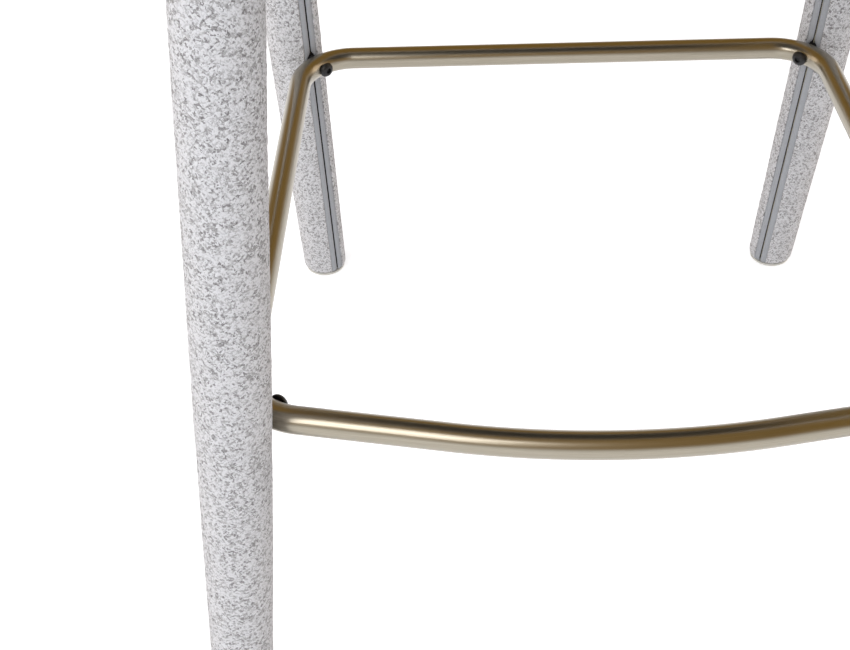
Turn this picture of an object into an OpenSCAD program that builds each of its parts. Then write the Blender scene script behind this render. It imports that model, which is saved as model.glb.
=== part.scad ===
// Bar stool with a footrest: steel frame, padded legs in zipped fabric sleeves,
// an upholstered seat and back, and one bent tube as the footrest.
// Millimetres. The floor is z = 0, +X is to the right of the stool and the front faces -Y.

/* [Overall] */
// Height of the top of the seat above the floor
seat_height = 680; // [640:1:780]
// Height of the top of the back above the top of the seat
back_rise = 275; // [240:1:400]
// Height of the footrest's centre line above the floor
footrest_height = 235; // [215:1:250]
// Distance between the front and the rear feet, centre to centre
stance_depth = 462; // [440:1:520]
// Distance between the two front feet, centre to centre
stance_front = 455; // [440:1:520]
// Distance between the two rear feet, centre to centre
stance_rear = 403; // [390:1:450]

/* [Leg angles] */
// How far a front leg leans out to its side, in degrees
front_splay_side = 5; // [3:0.1:6]
// How far a front leg leans forwards, in degrees
front_splay_ahead = 3.4; // [2:0.1:5]
// How far a rear leg leans out at the top, in degrees
rear_lean_side = 0.8; // [0:0.1:2]
// Rake of a rear leg below its bend, in degrees
rear_rake = 7; // [5:0.1:8]
// Lean of the back, in degrees
back_lean = 5; // [3:0.1:8]

/* [Legs] */
// Outside radius of the steel leg tube
tube_r = 12.5; // [11:0.5:14]
// Wall of the steel leg tube
tube_wall = 1.5; // [1:0.1:2]
// Outside radius of a finished leg at and above the footrest
leg_r = 20.9; // [20:0.1:26]
// Outside radius of a finished leg at the foot
leg_r_foot = 18.6; // [17:0.1:24]
// Thickness of the sleeve's fabric and its backing
sleeve_t = 1.2; // [0.8:0.1:2]
// Height of a rear leg's bend above the floor, on its axis
rear_bend_height = 266; // [260:1:340]
// Radius of the lower bend of a rear leg
rear_bend_r = 300; // [200:10:320]
// Radius of the bend between a rear leg and the back
back_bend_r = 250; // [200:10:400]
// Height of the sleeve's hem above the floor
hem_height = 4; // [3:0.5:6]

/* [Zips] */
// Width of the zip band, both tapes together
zip_w = 12.2; // [10:0.1:14]
// Gap between the two tapes
zip_gap = 1.3; // [1:0.1:2]
// Thickness of a tape
tape_t = 0.8; // [0.5:0.1:1]
// Width of one row of the coil
coil_w = 2.5; // [2:0.1:3]
// Thickness of the coil
coil_t = 1.9; // [1.5:0.1:2.2]
// Length of the slider
slider_l = 12; // [9:0.5:15]
// Width of the slider
slider_w = 9; // [8:0.5:10]

/* [Footrest] */
// Outside radius of the footrest tube
rest_r = 8; // [6:0.5:10]
// Wall of the footrest tube
rest_wall = 1.5; // [1:0.1:2]
// How far a front corner stands inwards of the front leg's axis
front_corner_in = 0.6; // [0:0.1:6]
// How far a front corner stands behind the front leg's axis
front_corner_back = 22.7; // [16:0.1:26]
// How far a rear corner stands inwards of the rear leg's axis
rear_corner_in = 7.6; // [5:0.1:12]
// How far a rear corner stands ahead of the rear leg's axis
rear_corner_ahead = 11.5; // [9:0.1:14]
// How far the front bar's point stands ahead of its corners, before it is rounded
rest_bow = 37; // [15:1:60]
// Radius of the front bar's bow
rest_bow_r = 510; // [200:5:600]
// Radius of the bolts' thread
bolt_r = 3; // [2.5:0.5:4]
// Radius of a bolt's button head
bolt_head_r = 5.6; // [5:0.1:7]
// Outside radius of the spacers between the footrest and the leg tubes
spacer_r = 5; // [4.5:0.5:5.5]

/* [Seat and back] */
// How far the seat reaches past the leg tubes' axes at each side
seat_side = 18; // [16:0.5:24]
// How far the seat reaches ahead of the front legs' axes, at the seat frame
seat_overhang = 40; // [25:1:50]
// Radius of the seat's front corners in plan
seat_corner_r = 70; // [40:1:90]
// Thickness of the seat's foam
seat_foam_t = 42; // [30:1:60]
// Thickness of the plywood seat board
board_t = 12; // [9:1:15]
// Side of the square seat rails
rail_w = 20; // [16:1:25]
// Wall of the seat rails
rail_wall = 1.5; // [1:0.1:2]
// How far the back reaches past the posts' axes at each side
back_side = 20.8; // [18:0.1:30]
// Thickness of the back
back_t = 46; // [42:1:60]
// Radius of the back's top corners
back_corner_r = 60; // [20:1:90]
// Thickness of the seat's and the back's cover
cover_t = 1.5; // [1:0.1:2]
// Radius of the piping cord
piping_r = 2.5; // [2:0.1:4]

/* [Hidden] */
$fn = 64;
fit_gap = 0.1;            // between pieces that touch
run_gap = 0.3;            // between a slider and what it runs on
overrun = 2;              // how far a cut runs past what it cuts
lap = 0.6;                // how far a straight part reaches into a bend
slim = 0.05;              // how much thinner it is there, so that the two join cleanly
glide_t = 5;
glide_r = leg_r_foot - 1.6;
plug_l = 24;
gusset_t = 3;
gusset_side = 62;
screw_inset = 30;
staple_l = 10;
staple_r = 0.6;
dust_t = 0.8;
flange_w = 28;            // width of the seat cover that turns under

// Heights, from the seat down
back_top = seat_height + back_rise;
board_top = seat_height - cover_t - seat_foam_t;
board_bottom = board_top - board_t;
rail_bottom = board_bottom - rail_w;
seat_bottom = rail_bottom - 4;
sleeve_top = seat_bottom - dust_t - 1;

// Front leg: its foot, its direction, and the height's share of its length
front_foot = [stance_front / 2, -stance_depth / 2, 0];
front_slope = [-tan(front_splay_side), tan(front_splay_ahead)];
front_tilt = atan(norm(front_slope));
front_turn = atan2(front_slope[1], front_slope[0]);
front_cos = cos(front_tilt);
function front_at(z) = [front_foot[0] + front_slope[0] * z, front_foot[1] + front_slope[1] * z];

// Rear leg: the lengths of its straight parts, in its own plane
rear_foot = [stance_rear / 2, stance_depth / 2, 0];
rear_bend_run = rear_bend_r * tan(rear_rake / 2);
rear_low_l = rear_bend_height / cos(rear_rake) - rear_bend_run;
rear_axis_y = rear_foot[1] - rear_bend_height * tan(rear_rake);
back_bend_z = board_top + 14;
back_bend_run = back_bend_r * tan(back_lean / 2);
rear_mid_l = back_bend_z - rear_bend_height - rear_bend_run - back_bend_run;
post_top = back_top - 35;
post_l = (post_top - back_bend_z) / cos(back_lean) - back_bend_run;
rear_cos = cos(rear_rake) * cos(rear_lean_side);
function rear_at(z) = [
    rear_foot[0] + tan(rear_lean_side) * z,
    z < rear_bend_height ? rear_foot[1] - z * tan(rear_rake) : rear_axis_y
];

taper_l = rear_low_l;     // a leg tapers from here down
taper_angle = atan((leg_r - leg_r_foot) / taper_l);

// Footrest outline: five corners, half of them on each side. A corner bend has the radius
// at which the tube just meets the leg's sleeve.
front_leg_c = front_at(footrest_height);
rear_leg_c = rear_at(footrest_height);
front_corner = front_leg_c + [-front_corner_in, front_corner_back];
rear_corner = rear_leg_c - [rear_corner_in, rear_corner_ahead];
bow_point = [0, front_corner[1] - rest_bow];
reach = leg_r + rest_r + fit_gap;      // from a leg's axis to the tube's centre line
function unit(v) = v / norm(v);
// Unit vector that halves the corner at b, between a and c
function halving(a, b, c) = unit(unit(a - b) + unit(c - b));
function half_angle(a, b, c) = acos(unit(a - b) * unit(c - b)) / 2;
// Radius of the bend at b whose arc passes at distance reach from the leg at p
function touching_r(a, b, c, p, d) =
    let (
        h = halving(a, b, c),
        k = 1 / sin(half_angle(a, b, c)),
        along = -(p - b) * h,
        across = (p - b) * [-h[1], h[0]],
        qa = k * k - 1,
        qb = 2 * (k * along - d),
        qc = along * along + across * across - d * d
    ) (-qb + sqrt(qb * qb - 4 * qa * qc)) / (2 * qa);
front_r = touching_r(bow_point, front_corner, rear_corner, front_leg_c, reach);
rear_r = touching_r(front_corner, rear_corner, [-rear_corner[0], rear_corner[1]], rear_leg_c, reach);
front_bend_c = front_corner
    + halving(bow_point, front_corner, rear_corner) * front_r
    / sin(half_angle(bow_point, front_corner, rear_corner));
rear_bend_c = rear_corner
    + halving(front_corner, rear_corner, [-rear_corner[0], rear_corner[1]]) * rear_r
    / sin(half_angle(front_corner, rear_corner, [-rear_corner[0], rear_corner[1]]));
function turn_of(v) = atan2(v[1], v[0]);
front_bolt_turn = turn_of(front_bend_c - front_leg_c);
rear_bolt_turn = turn_of(rear_bend_c - rear_leg_c);
front_zip_turn = front_bolt_turn;      // a bolt passes between the tapes of the zip
rear_zip_turn = rear_bolt_turn;

// Seat outline
front_top = front_at(rail_bottom + rail_w / 2);
rear_top = rear_at(rail_bottom + rail_w / 2);
seat_w = 2 * (max(front_top[0], rear_top[0]) + seat_side);
back_w = 2 * (rear_at(post_top)[0] + back_side);
seat_front_y = front_top[1] - seat_overhang;
seat_rear_y = rear_axis_y - back_t / 2 / cos(back_lean)
    - (back_bend_z - seat_bottom) * tan(back_lean) - 1;
rear_rail_y = seat_rear_y - 30;
back_half = back_t / 2;
back_local_top = (back_top - back_bend_z - back_half * sin(back_lean)) / cos(back_lean);
back_local_bottom = (seat_bottom - back_bend_z) / cos(back_lean) - back_half * tan(back_lean) - 1;

SIDES = ["left", "right"];

// ---------- where things go ----------

module on_side(side) {
    if (side < 0) mirror([1, 0, 0]) children();
    else children();
}

// From the foot of the right front leg, with +Z up the leg
module front_leg_place() {
    translate(front_foot) rotate([0, front_tilt, front_turn]) rotate([0, 0, -front_turn]) children();
}

// From the foot of the right rear leg, with +Z up the leg's lower part
module rear_leg_place() {
    translate(rear_foot) rotate([0, rear_lean_side, 0]) rotate([rear_rake, 0, 0]) children();
}

// Carries a section round a bend that starts at the origin, up +Z, and turns towards +Y
module bend(radius, angle) {
    translate([0, radius, 0]) rotate([-90, 0, -90]) rotate([0, 0, -angle])
        rotate_extrude(angle = angle, $fn = 96) translate([radius, 0]) rotate(90) children();
}

module after_bend(radius, angle) {
    translate([0, radius, 0]) rotate([-angle, 0, 0]) translate([0, -radius, 0]) children();
}

module at_rear_mid() {
    translate([0, 0, rear_low_l]) after_bend(rear_bend_r, rear_rake) children();
}

module at_post() {
    at_rear_mid() translate([0, 0, rear_mid_l]) after_bend(back_bend_r, back_lean) children();
}

// A bolt's place on a leg: origin on the leg's axis, +X out along the bolt to its head
module at_front_bolt() {
    translate([front_leg_c[0], front_leg_c[1], footrest_height]) rotate([0, 0, front_bolt_turn]) children();
}

module at_rear_bolt() {
    translate([rear_leg_c[0], rear_leg_c[1], footrest_height]) rotate([0, 0, rear_bolt_turn]) children();
}

module at_bolts() {
    for (side = [-1, 1]) on_side(side) {
        at_front_bolt() children();
        at_rear_bolt() children();
    }
}

// ---------- shapes that follow a leg ----------

// The tapered part of a leg, from one height along the leg up to the end of the taper
module taper(r_foot, r_up, from) {
    r_from = r_foot + (r_up - r_foot) * from / taper_l;
    translate([0, 0, from]) cylinder(r1 = r_from, r2 = r_up - slim, h = taper_l - from);
}

// Tapered below, straight above
module front_leg_solid(r_foot, r_up, from, to) {
    taper(r_foot, r_up, from);
    translate([0, 0, taper_l - lap]) cylinder(r = r_up, h = to - taper_l + lap);
}

module rear_leg_solid(r_foot, r_up, from, mid_l) {
    taper(r_foot, r_up, from);
    translate([0, 0, taper_l - lap]) cylinder(r = r_up - slim, h = 2 * lap);
    translate([0, 0, rear_low_l]) bend(rear_bend_r, rear_rake) circle(r_up);
    at_rear_mid() translate([0, 0, -lap]) cylinder(r = r_up - slim, h = mid_l + lap);
}

// Bars of one section along the zip: from t0 to t1 across, and depth0 to depth1 below the sleeve
module zip_low(t0, t1, depth0, depth1, from) {
    translate([leg_r_foot, 0, 0]) rotate([0, taper_angle, 0])
        translate([-depth1, t0, from]) cube([depth1 - depth0, t1 - t0, taper_l - from + 0.05]);
}

module zip_section(t0, t1, depth0, depth1) {
    translate([leg_r - depth1, t0]) square([depth1 - depth0, t1 - t0]);
}

module front_zip_bar(t0, t1, depth0, depth1, from, to) {
    rotate([0, 0, front_zip_turn]) {
        if (from < taper_l) zip_low(t0 + slim, t1 - slim, depth0 + slim, depth1 - slim, from);
        translate([0, 0, max(from, taper_l - 1.5)]) linear_extrude(to - max(from, taper_l - 1.5))
            zip_section(t0, t1, depth0, depth1);
    }
}

module rear_zip_bar(t0, t1, depth0, depth1, from, mid_from, mid_to) {
    start = mid_from == 0 ? -lap : mid_from;
    if (mid_from == 0) {
        rotate([0, 0, rear_zip_turn]) zip_low(t0 + slim, t1 - slim, depth0 + slim, depth1 - slim, from);
        translate([0, 0, rear_low_l]) bend(rear_bend_r, rear_rake)
            rotate(rear_zip_turn) zip_section(t0, t1, depth0, depth1);
    }
    at_rear_mid() translate([0, 0, start]) linear_extrude(mid_to - start)
        rotate(rear_zip_turn) zip_section(t0 + slim, t1 - slim, depth0 + slim, depth1 - slim);
}

// ---------- lengths along the legs ----------

front_sleeve_from = hem_height / front_cos + 1;
front_sleeve_to = sleeve_top / front_cos - leg_r * tan(front_tilt) - 0.2;
rear_sleeve_from = hem_height / rear_cos + 1;
rear_mid_to = sleeve_top - rear_bend_height - rear_bend_run - leg_r * tan(rear_lean_side) - 0.2;
coil_depth = tape_t + 0.25;
slider_low_t = 1.2;
slider_high_t = 1.5;
groove_depth = coil_depth + coil_t + run_gap + slider_low_t + 0.5;
slider_rest = 8;          // the closed slider's distance below the sleeve's top

// ---------- legs ----------

module front_leg_tube(side) {
    color("dimgray") on_side(side) difference() {
        front_leg_place() difference() {
            translate([0, 0, glide_t + 6]) cylinder(r = tube_r, h = board_bottom);
            cylinder(r = tube_r - tube_wall, h = board_bottom + 3 * glide_t);
        }
        translate([0, 0, board_bottom]) cylinder(r = stance_front, h = 3 * rail_w);
        at_front_bolt() rotate([0, 90, 0]) cylinder(r = rivet_r + 0.05, h = 2 * tube_r);
    }
}

module rear_tube_run(r) {
    cylinder(r = r - slim, h = rear_low_l + lap);
    translate([0, 0, rear_low_l]) bend(rear_bend_r, rear_rake) circle(r);
    upper_tube_run(r, post_l);
}

module upper_tube_run(r, post) {
    at_rear_mid() translate([0, 0, -lap]) cylinder(r = r - slim, h = rear_mid_l + 2 * lap);
    at_rear_mid() translate([0, 0, rear_mid_l]) bend(back_bend_r, back_lean) circle(r);
    at_post() translate([0, 0, -lap]) cylinder(r = r - slim, h = post + lap);
}

module rear_leg_tube(side) {
    color("dimgray") on_side(side) difference() {
        rear_leg_place() difference() {
            rear_tube_run(tube_r);
            rear_tube_run(tube_r - tube_wall);
            translate([0, 0, -1]) cylinder(r = 2 * tube_r, h = glide_t + 7);
            at_post() cylinder(r = tube_r - tube_wall, h = post_l + overrun);
        }
        at_rear_bolt() rotate([0, 90, 0]) cylinder(r = rivet_r + 0.05, h = 2 * tube_r);
    }
}

// Solid leg tubes, to cut what is welded or moulded round them
module front_tube_cut(gap) {
    for (side = [-1, 1]) on_side(side) front_leg_place()
        cylinder(r = tube_r + gap, h = seat_height);
}

module rear_tube_cut(gap) {
    for (side = [-1, 1]) on_side(side) rear_leg_place() upper_tube_run(tube_r + gap, post_l + gap);
}

module rear_mid_cut(gap) {
    for (side = [-1, 1]) on_side(side) rear_leg_place() at_rear_mid()
        cylinder(r = tube_r + gap, h = rear_mid_l);
}

module post_cut(gap) {
    for (side = [-1, 1]) on_side(side) rear_leg_place() at_post() cylinder(r = tube_r + gap, h = post_l);
}

module plug_shape() {
    difference() {
        union() {
            translate([0, 0, glide_t + 3]) cylinder(r = tube_r - tube_wall - 0.05, h = plug_l + 3);
            translate([0, 0, glide_t + 3]) cylinder(r = tube_r, h = 2.9);
        }
        translate([0, 0, glide_t]) cylinder(r = stem_r + 0.05, h = plug_l);
    }
}

module front_leg_plug(side) {
    color("black") on_side(side) front_leg_place() plug_shape();
}

module rear_leg_plug(side) {
    color("black") on_side(side) rear_leg_place() plug_shape();
}

stem_r = 4;
module glide_shape(lift) {
    translate([0, 0, lift]) {
        cylinder(r = glide_r - 3, h = glide_t + 2.9 - lift);
        cylinder(r = stem_r, h = glide_t + plug_l - 8);
    }
}

module floor_disc() {
    cylinder(r1 = glide_r - 1, r2 = glide_r, h = 1);
    translate([0, 0, 1]) cylinder(r = glide_r, h = 1.6);
}

module front_glide(side) {
    color("gainsboro") on_side(side) {
        front_leg_place() glide_shape(2);
        translate([front_at(1)[0], front_at(1)[1], 0]) floor_disc();
    }
}

module rear_glide(side) {
    color("gainsboro") on_side(side) {
        rear_leg_place() glide_shape(2);
        translate([rear_at(1)[0], rear_at(1)[1], 0]) floor_disc();
    }
}

module spacer_hole() {
    rotate([0, 90, 0]) cylinder(r = spacer_r + fit_gap, h = 2 * leg_r);
}

module front_leg_foam(side) {
    grow = sleeve_t + fit_gap;
    color("khaki") on_side(side) difference() {
        front_leg_place() difference() {
            front_leg_solid(leg_r_foot - grow, leg_r - grow, front_sleeve_from + 4, front_sleeve_to - 1);
            cylinder(r = tube_r + fit_gap, h = seat_height);
            front_zip_bar(-zip_w / 2, zip_w / 2, -1, coil_depth + coil_t + 0.4, 0, seat_height);
            front_zip_bar(-slider_w / 2 - 0.4, slider_w / 2 + 0.4, -1, groove_depth,
                taper_l + 10, seat_height);
        }
        at_front_bolt() spacer_hole();
    }
}

module rear_leg_foam(side) {
    grow = sleeve_t + fit_gap;
    color("khaki") on_side(side) difference() {
        rear_leg_place() difference() {
            rear_leg_solid(leg_r_foot - grow, leg_r - grow, rear_sleeve_from + 4, rear_mid_to - 1);
            rear_tube_run(tube_r + fit_gap);
            translate([0, 0, -1]) cylinder(r = tube_r + fit_gap, h = 20);
            rear_zip_bar(-zip_w / 2, zip_w / 2, -1, coil_depth + coil_t + 0.4, -10, 0, rear_mid_l);
            rear_zip_bar(-slider_w / 2 - 0.4, slider_w / 2 + 0.4, -1, groove_depth, 0, 5, rear_mid_l);
        }
        at_rear_bolt() spacer_hole();
    }
}

module front_leg_sleeve(side) {
    color("lightgray") on_side(side) difference() {
        front_leg_place() difference() {
            front_leg_solid(leg_r_foot, leg_r, front_sleeve_from, front_sleeve_to);
            front_leg_solid(leg_r_foot - sleeve_t, leg_r - sleeve_t, 0, seat_height);
            front_zip_bar(-zip_w / 2 - 0.05, zip_w / 2 + 0.05, -1, 4, -overrun, seat_height);
        }
        at_front_bolt() spacer_hole();
    }
}

module rear_leg_sleeve(side) {
    color("lightgray") on_side(side) difference() {
        rear_leg_place() difference() {
            rear_leg_solid(leg_r_foot, leg_r, rear_sleeve_from, rear_mid_to);
            rear_leg_solid(leg_r_foot - sleeve_t, leg_r - sleeve_t, 0, rear_mid_l);
            rear_zip_bar(-zip_w / 2 - 0.05, zip_w / 2 + 0.05, -1, 4, -overrun, 0, rear_mid_l);
        }
        at_rear_bolt() spacer_hole();
    }
}

// ---------- zips ----------

module front_zip_tapes(side) {
    color("slategray") on_side(side) difference() {
        front_leg_place() for (half = [-1, 1]) {
            t0 = half < 0 ? -zip_w / 2 : zip_gap / 2;
            front_zip_bar(t0, t0 + (zip_w - zip_gap) / 2, 0.2, 0.2 + tape_t,
                front_sleeve_from + 1, front_sleeve_to - 2);
        }
        at_front_bolt() spacer_hole();
    }
}

module rear_zip_tapes(side) {
    color("slategray") on_side(side) difference() {
        rear_leg_place() for (half = [-1, 1]) {
            t0 = half < 0 ? -zip_w / 2 : zip_gap / 2;
            rear_zip_bar(t0, t0 + (zip_w - zip_gap) / 2, 0.2, 0.2 + tape_t,
                rear_sleeve_from + 1, 0, rear_mid_to - 2);
        }
        at_rear_bolt() spacer_hole();
    }
}

module front_zip_coil(side) {
    color("black") on_side(side) difference() {
        front_leg_place() for (half = [-1, 1]) {
            t0 = half < 0 ? -zip_gap / 2 - coil_w : zip_gap / 2;
            front_zip_bar(t0, t0 + coil_w, coil_depth, coil_depth + coil_t,
                front_sleeve_from + 3, front_sleeve_to - 4);
        }
        at_front_bolt() spacer_hole();
    }
}

module rear_zip_coil(side) {
    color("black") on_side(side) difference() {
        rear_leg_place() for (half = [-1, 1]) {
            t0 = half < 0 ? -zip_gap / 2 - coil_w : zip_gap / 2;
            rear_zip_bar(t0, t0 + coil_w, coil_depth, coil_depth + coil_t,
                rear_sleeve_from + 3, 0, rear_mid_to - 4);
        }
        at_rear_bolt() spacer_hole();
    }
}

// Two plates and the thin post that joins them between the rows, with a loop to hook it by
module slider_shape() {
    outer = leg_r + run_gap;
    inner = leg_r - coil_depth - coil_t - run_gap;
    translate([outer, -slider_w / 2, 0]) cube([slider_high_t, slider_w, slider_l]);
    translate([inner - slider_low_t, -slider_w / 2, 0]) cube([slider_low_t, slider_w, slider_l]);
    translate([inner - 0.05, -0.4, slider_l - 4.5]) cube([outer - inner + 0.1, 0.8, 4]);
    difference() {
        translate([outer + slider_high_t - 0.05, -1.5, 2]) cube([2.6, 3, slider_l - 4]);
        translate([outer + slider_high_t - 0.1, -overrun, 3.4]) cube([1.5, 2 * overrun, slider_l - 6.8]);
    }
}

module front_zip_slider(side) {
    color("dimgray") on_side(side) front_leg_place() rotate([0, 0, front_zip_turn])
        translate([0, 0, front_sleeve_to - slider_rest - slider_l]) slider_shape();
}

module rear_zip_slider(side) {
    color("dimgray") on_side(side) rear_leg_place() at_rear_mid() rotate([0, 0, rear_zip_turn])
        translate([0, 0, rear_mid_to - slider_rest - slider_l]) slider_shape();
}

// ---------- footrest ----------

// Straight tube between two points of the footrest's plane
module rest_bar(a, b, r) {
    translate([a[0], a[1], footrest_height]) rotate([0, 0, turn_of(b - a)]) rotate([0, 90, 0])
        translate([0, 0, -lap]) cylinder(r = r - slim, h = norm(b - a) + 2 * lap);
}

// Tube round the corner at b, between a and c
module rest_bend(a, b, c, radius, r) {
    h = halving(a, b, c);
    half = half_angle(a, b, c);
    centre = b + h * radius / sin(half);
    translate([centre[0], centre[1], footrest_height])
        rotate([0, 0, turn_of(-h) - (90 - half)])
            rotate_extrude(angle = 180 - 2 * half, $fn = 96) translate([radius, 0]) circle(r);
}

// Where the tube's straight part next to the corner at b starts
function bend_start(a, b, c, radius) = b + unit(a - b) * radius / tan(half_angle(a, b, c));
function flip(p) = [-p[0], p[1]];

module rest_run(r) {
    bow_end = bend_start(front_corner, bow_point, flip(front_corner), rest_bow_r);
    front_a = bend_start(bow_point, front_corner, rear_corner, front_r);
    front_b = bend_start(rear_corner, front_corner, bow_point, front_r);
    rear_a = bend_start(front_corner, rear_corner, flip(rear_corner), rear_r);
    rear_b = bend_start(flip(rear_corner), rear_corner, front_corner, rear_r);
    rest_bend(front_corner, bow_point, flip(front_corner), rest_bow_r, r);
    rest_bar(flip(rear_b), rear_b, r);
    for (side = [-1, 1]) on_side(side) {
        rest_bar(bow_end, front_a, r);
        rest_bend(bow_point, front_corner, rear_corner, front_r, r);
        rest_bar(front_b, rear_a, r);
        rest_bend(front_corner, rear_corner, flip(rear_corner), rear_r, r);
    }
}

module footrest_tube() {
    color("darkgoldenrod") difference() {
        rest_run(rest_r);
        rest_run(rest_r - rest_wall);
        at_bolts() rotate([0, 90, 0]) cylinder(r = bolt_r + 0.3, h = reach + 2 * rest_r);
    }
}

rivet_r = 4.5;
rivet_l = 13;
bolt_tip = 2;

head_h = 3.3;
// A flat head bears on the inside of a bend at its rim, this far off the tube
function head_lift(r) = r - rest_r - sqrt(pow(r - rest_r, 2) - pow(bolt_head_r, 2)) + 0.03;

module footrest_bolt(lift) {
    seat = reach + rest_r + lift;
    rotate([0, 90, 0]) difference() {
        union() {
            translate([0, 0, bolt_tip]) cylinder(r = bolt_r - 0.06, h = seat + 1 - bolt_tip);
            translate([0, 0, seat]) cylinder(r1 = bolt_head_r, r2 = bolt_head_r * 0.72, h = head_h);
        }
        translate([0, 0, seat + head_h - 2]) cylinder(r = 2.3, h = head_h, $fn = 6);
    }
}

module footrest_bolts() {
    color("black") for (side = [-1, 1]) on_side(side) {
        at_front_bolt() footrest_bolt(head_lift(front_r));
        at_rear_bolt() footrest_bolt(head_lift(rear_r));
    }
}

module footrest_spacers() {
    color("black") difference() {
        at_bolts() rotate([0, 90, 0]) difference() {
            translate([0, 0, tube_r - 3]) cylinder(r = spacer_r, h = reach - tube_r);
            cylinder(r = bolt_r + 0.2, h = 2 * reach);
        }
        rest_run(rest_r + 0.02);
        front_tube_cut(0.02);
        for (side = [-1, 1]) on_side(side) rear_leg_place() cylinder(r = tube_r + 0.02, h = rear_low_l);
    }
}

module footrest_rivet_nuts() {
    color("silver") at_bolts() rotate([0, 90, 0]) difference() {
        translate([0, 0, tube_r - rivet_l + 0.2]) cylinder(r = rivet_r, h = rivet_l - 0.8);
        translate([0, 0, -tube_r]) cylinder(r = bolt_r, h = 4 * tube_r);
    }
}

// ---------- seat frame ----------

module rail_shape(l, hollow) {
    w = hollow ? rail_w - 2 * rail_wall : rail_w;
    extra = hollow ? overrun : 0;
    translate([-extra, -w / 2, rail_bottom + (rail_w - w) / 2]) cube([l + 2 * extra, w, w]);
}

side_rail_a = front_top;
side_rail_b = rear_top;

module side_rail_place() {
    translate([side_rail_a[0], side_rail_a[1], 0]) rotate([0, 0, turn_of(side_rail_b - side_rail_a)]) children();
}

side_rail_l = norm(side_rail_b - side_rail_a);

module side_rail_cut(gap) {
    for (side = [-1, 1]) on_side(side) side_rail_place()
        translate([-rail_w, -rail_w / 2 - gap, rail_bottom - gap])
            cube([side_rail_l + rail_w, rail_w + 2 * gap, rail_w + 2 * gap]);
}

module seat_rail_side(side) {
    color("dimgray") difference() {
        on_side(side) side_rail_place() difference() {
            rail_shape(side_rail_l, false);
            rail_shape(side_rail_l, true);
        }
        front_tube_cut(0.02);
        rear_mid_cut(0.02);
    }
}

module cross_rail(y, half_l) {
    translate([-half_l, y, 0]) difference() {
        rail_shape(2 * half_l, false);
        rail_shape(2 * half_l, true);
    }
}

module seat_rail_front() {
    color("dimgray") difference() {
        cross_rail(front_top[1], front_top[0]);
        front_tube_cut(0.02);
        side_rail_cut(0.02);
    }
}

module seat_rail_rear() {
    color("dimgray") difference() {
        cross_rail(rear_rail_y, rear_top[0]);
        side_rail_cut(0.02);
        for (side = [-1, 1]) on_side(side) side_rail_place()
            translate([-rail_w, -3 * rail_w, rail_bottom - 1]) cube([2 * stance_depth, 3 * rail_w, 2 * rail_w]);
    }
}

// The four corners inside the rails, each turned so that +X and +Y point into the seat
function corner_x(y) = side_rail_a[0] + (side_rail_b[0] - side_rail_a[0])
    * (y - side_rail_a[1]) / (side_rail_b[1] - side_rail_a[1]) - rail_w / 2 - 0.5;
front_in = [corner_x(front_top[1] + rail_w / 2), front_top[1] + rail_w / 2];
rear_in = [corner_x(rear_rail_y - rail_w / 2), rear_rail_y - rail_w / 2];

module at_seat_corners() {
    for (side = [-1, 1]) on_side(side) {
        translate([front_in[0], front_in[1], 0]) rotate([0, 0, 90]) children();
        translate([rear_in[0], rear_in[1], 0]) rotate([0, 0, 180]) children();
    }
}

module seat_gussets() {
    color("dimgray") difference() {
        at_seat_corners() translate([0, 0, board_bottom - gusset_t]) difference() {
            linear_extrude(gusset_t - 0.02) polygon([[0, 0], [gusset_side, 0], [0, gusset_side]]);
            translate([screw_inset / 1.4, screw_inset / 1.4, -1]) cylinder(r = 3.4, h = 3 * gusset_t);
        }
        side_rail_cut(0.02);
        front_tube_cut(0.02);
    }
}

module at_seat_screws() {
    at_seat_corners() translate([screw_inset / 1.4, screw_inset / 1.4, 0]) children();
}

module seat_screws() {
    color("silver") at_seat_screws() {
        translate([0, 0, board_bottom - gusset_t - 3.5]) difference() {
            cylinder(r = 5.5, h = 3.48);
            translate([0, 0, -0.1]) cylinder(r = 2.3, h = 2, $fn = 6);
        }
        translate([0, 0, board_bottom - gusset_t - 0.1]) cylinder(r = 2.94, h = gusset_t + board_t - 1);
    }
}

module seat_tee_nuts() {
    color("silver") at_seat_screws() difference() {
        union() {
            translate([0, 0, board_bottom + 3]) cylinder(r = 4, h = board_t - 3);
            translate([0, 0, board_top]) cylinder(r = 9, h = 1.2);
        }
        translate([0, 0, board_bottom - 1]) cylinder(r = 3, h = 2 * board_t);
    }
}

// Plan of the seat, inset all round: large corners in front, small ones behind
module seat_plan(inset) {
    w = seat_w / 2 - inset;
    front = seat_front_y + inset;
    rear = seat_rear_y - inset;
    r = seat_corner_r - inset;
    rear_r2 = 12;
    difference() {
        translate([-w, front]) square([2 * w, rear - front]);
        for (side = [-1, 1]) {
            translate([side * w, front]) difference() {
                square(2 * r, center = true);
                translate([-side * r, r]) circle(r);
            }
            translate([side * w, rear]) difference() {
                square(2 * rear_r2, center = true);
                translate([-side * rear_r2, -rear_r2]) circle(rear_r2);
            }
        }
    }
}

board_inset = 5;

module seat_board() {
    color("burlywood") difference() {
        translate([0, 0, board_bottom]) linear_extrude(board_t) seat_plan(board_inset);
        at_seat_screws() translate([0, 0, board_bottom - 1]) cylinder(r = 4.05, h = 2 * board_t);
    }
}

module seat_foam() {
    color("khaki") difference() {
        union() {
            translate([0, 0, board_top + 0.05]) linear_extrude(seat_foam_t - 0.1) seat_plan(cover_t + 0.1);
            translate([0, 0, seat_bottom + cover_t + 0.1])
                linear_extrude(board_top - seat_bottom - cover_t) difference() {
                    seat_plan(cover_t + 0.1);
                    seat_plan(board_inset - 0.1);
                }
        }
        at_seat_screws() translate([0, 0, board_top]) cylinder(r = 9.1, h = 1.3);
        side_rail_cut(0.3);
    }
}

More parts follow.
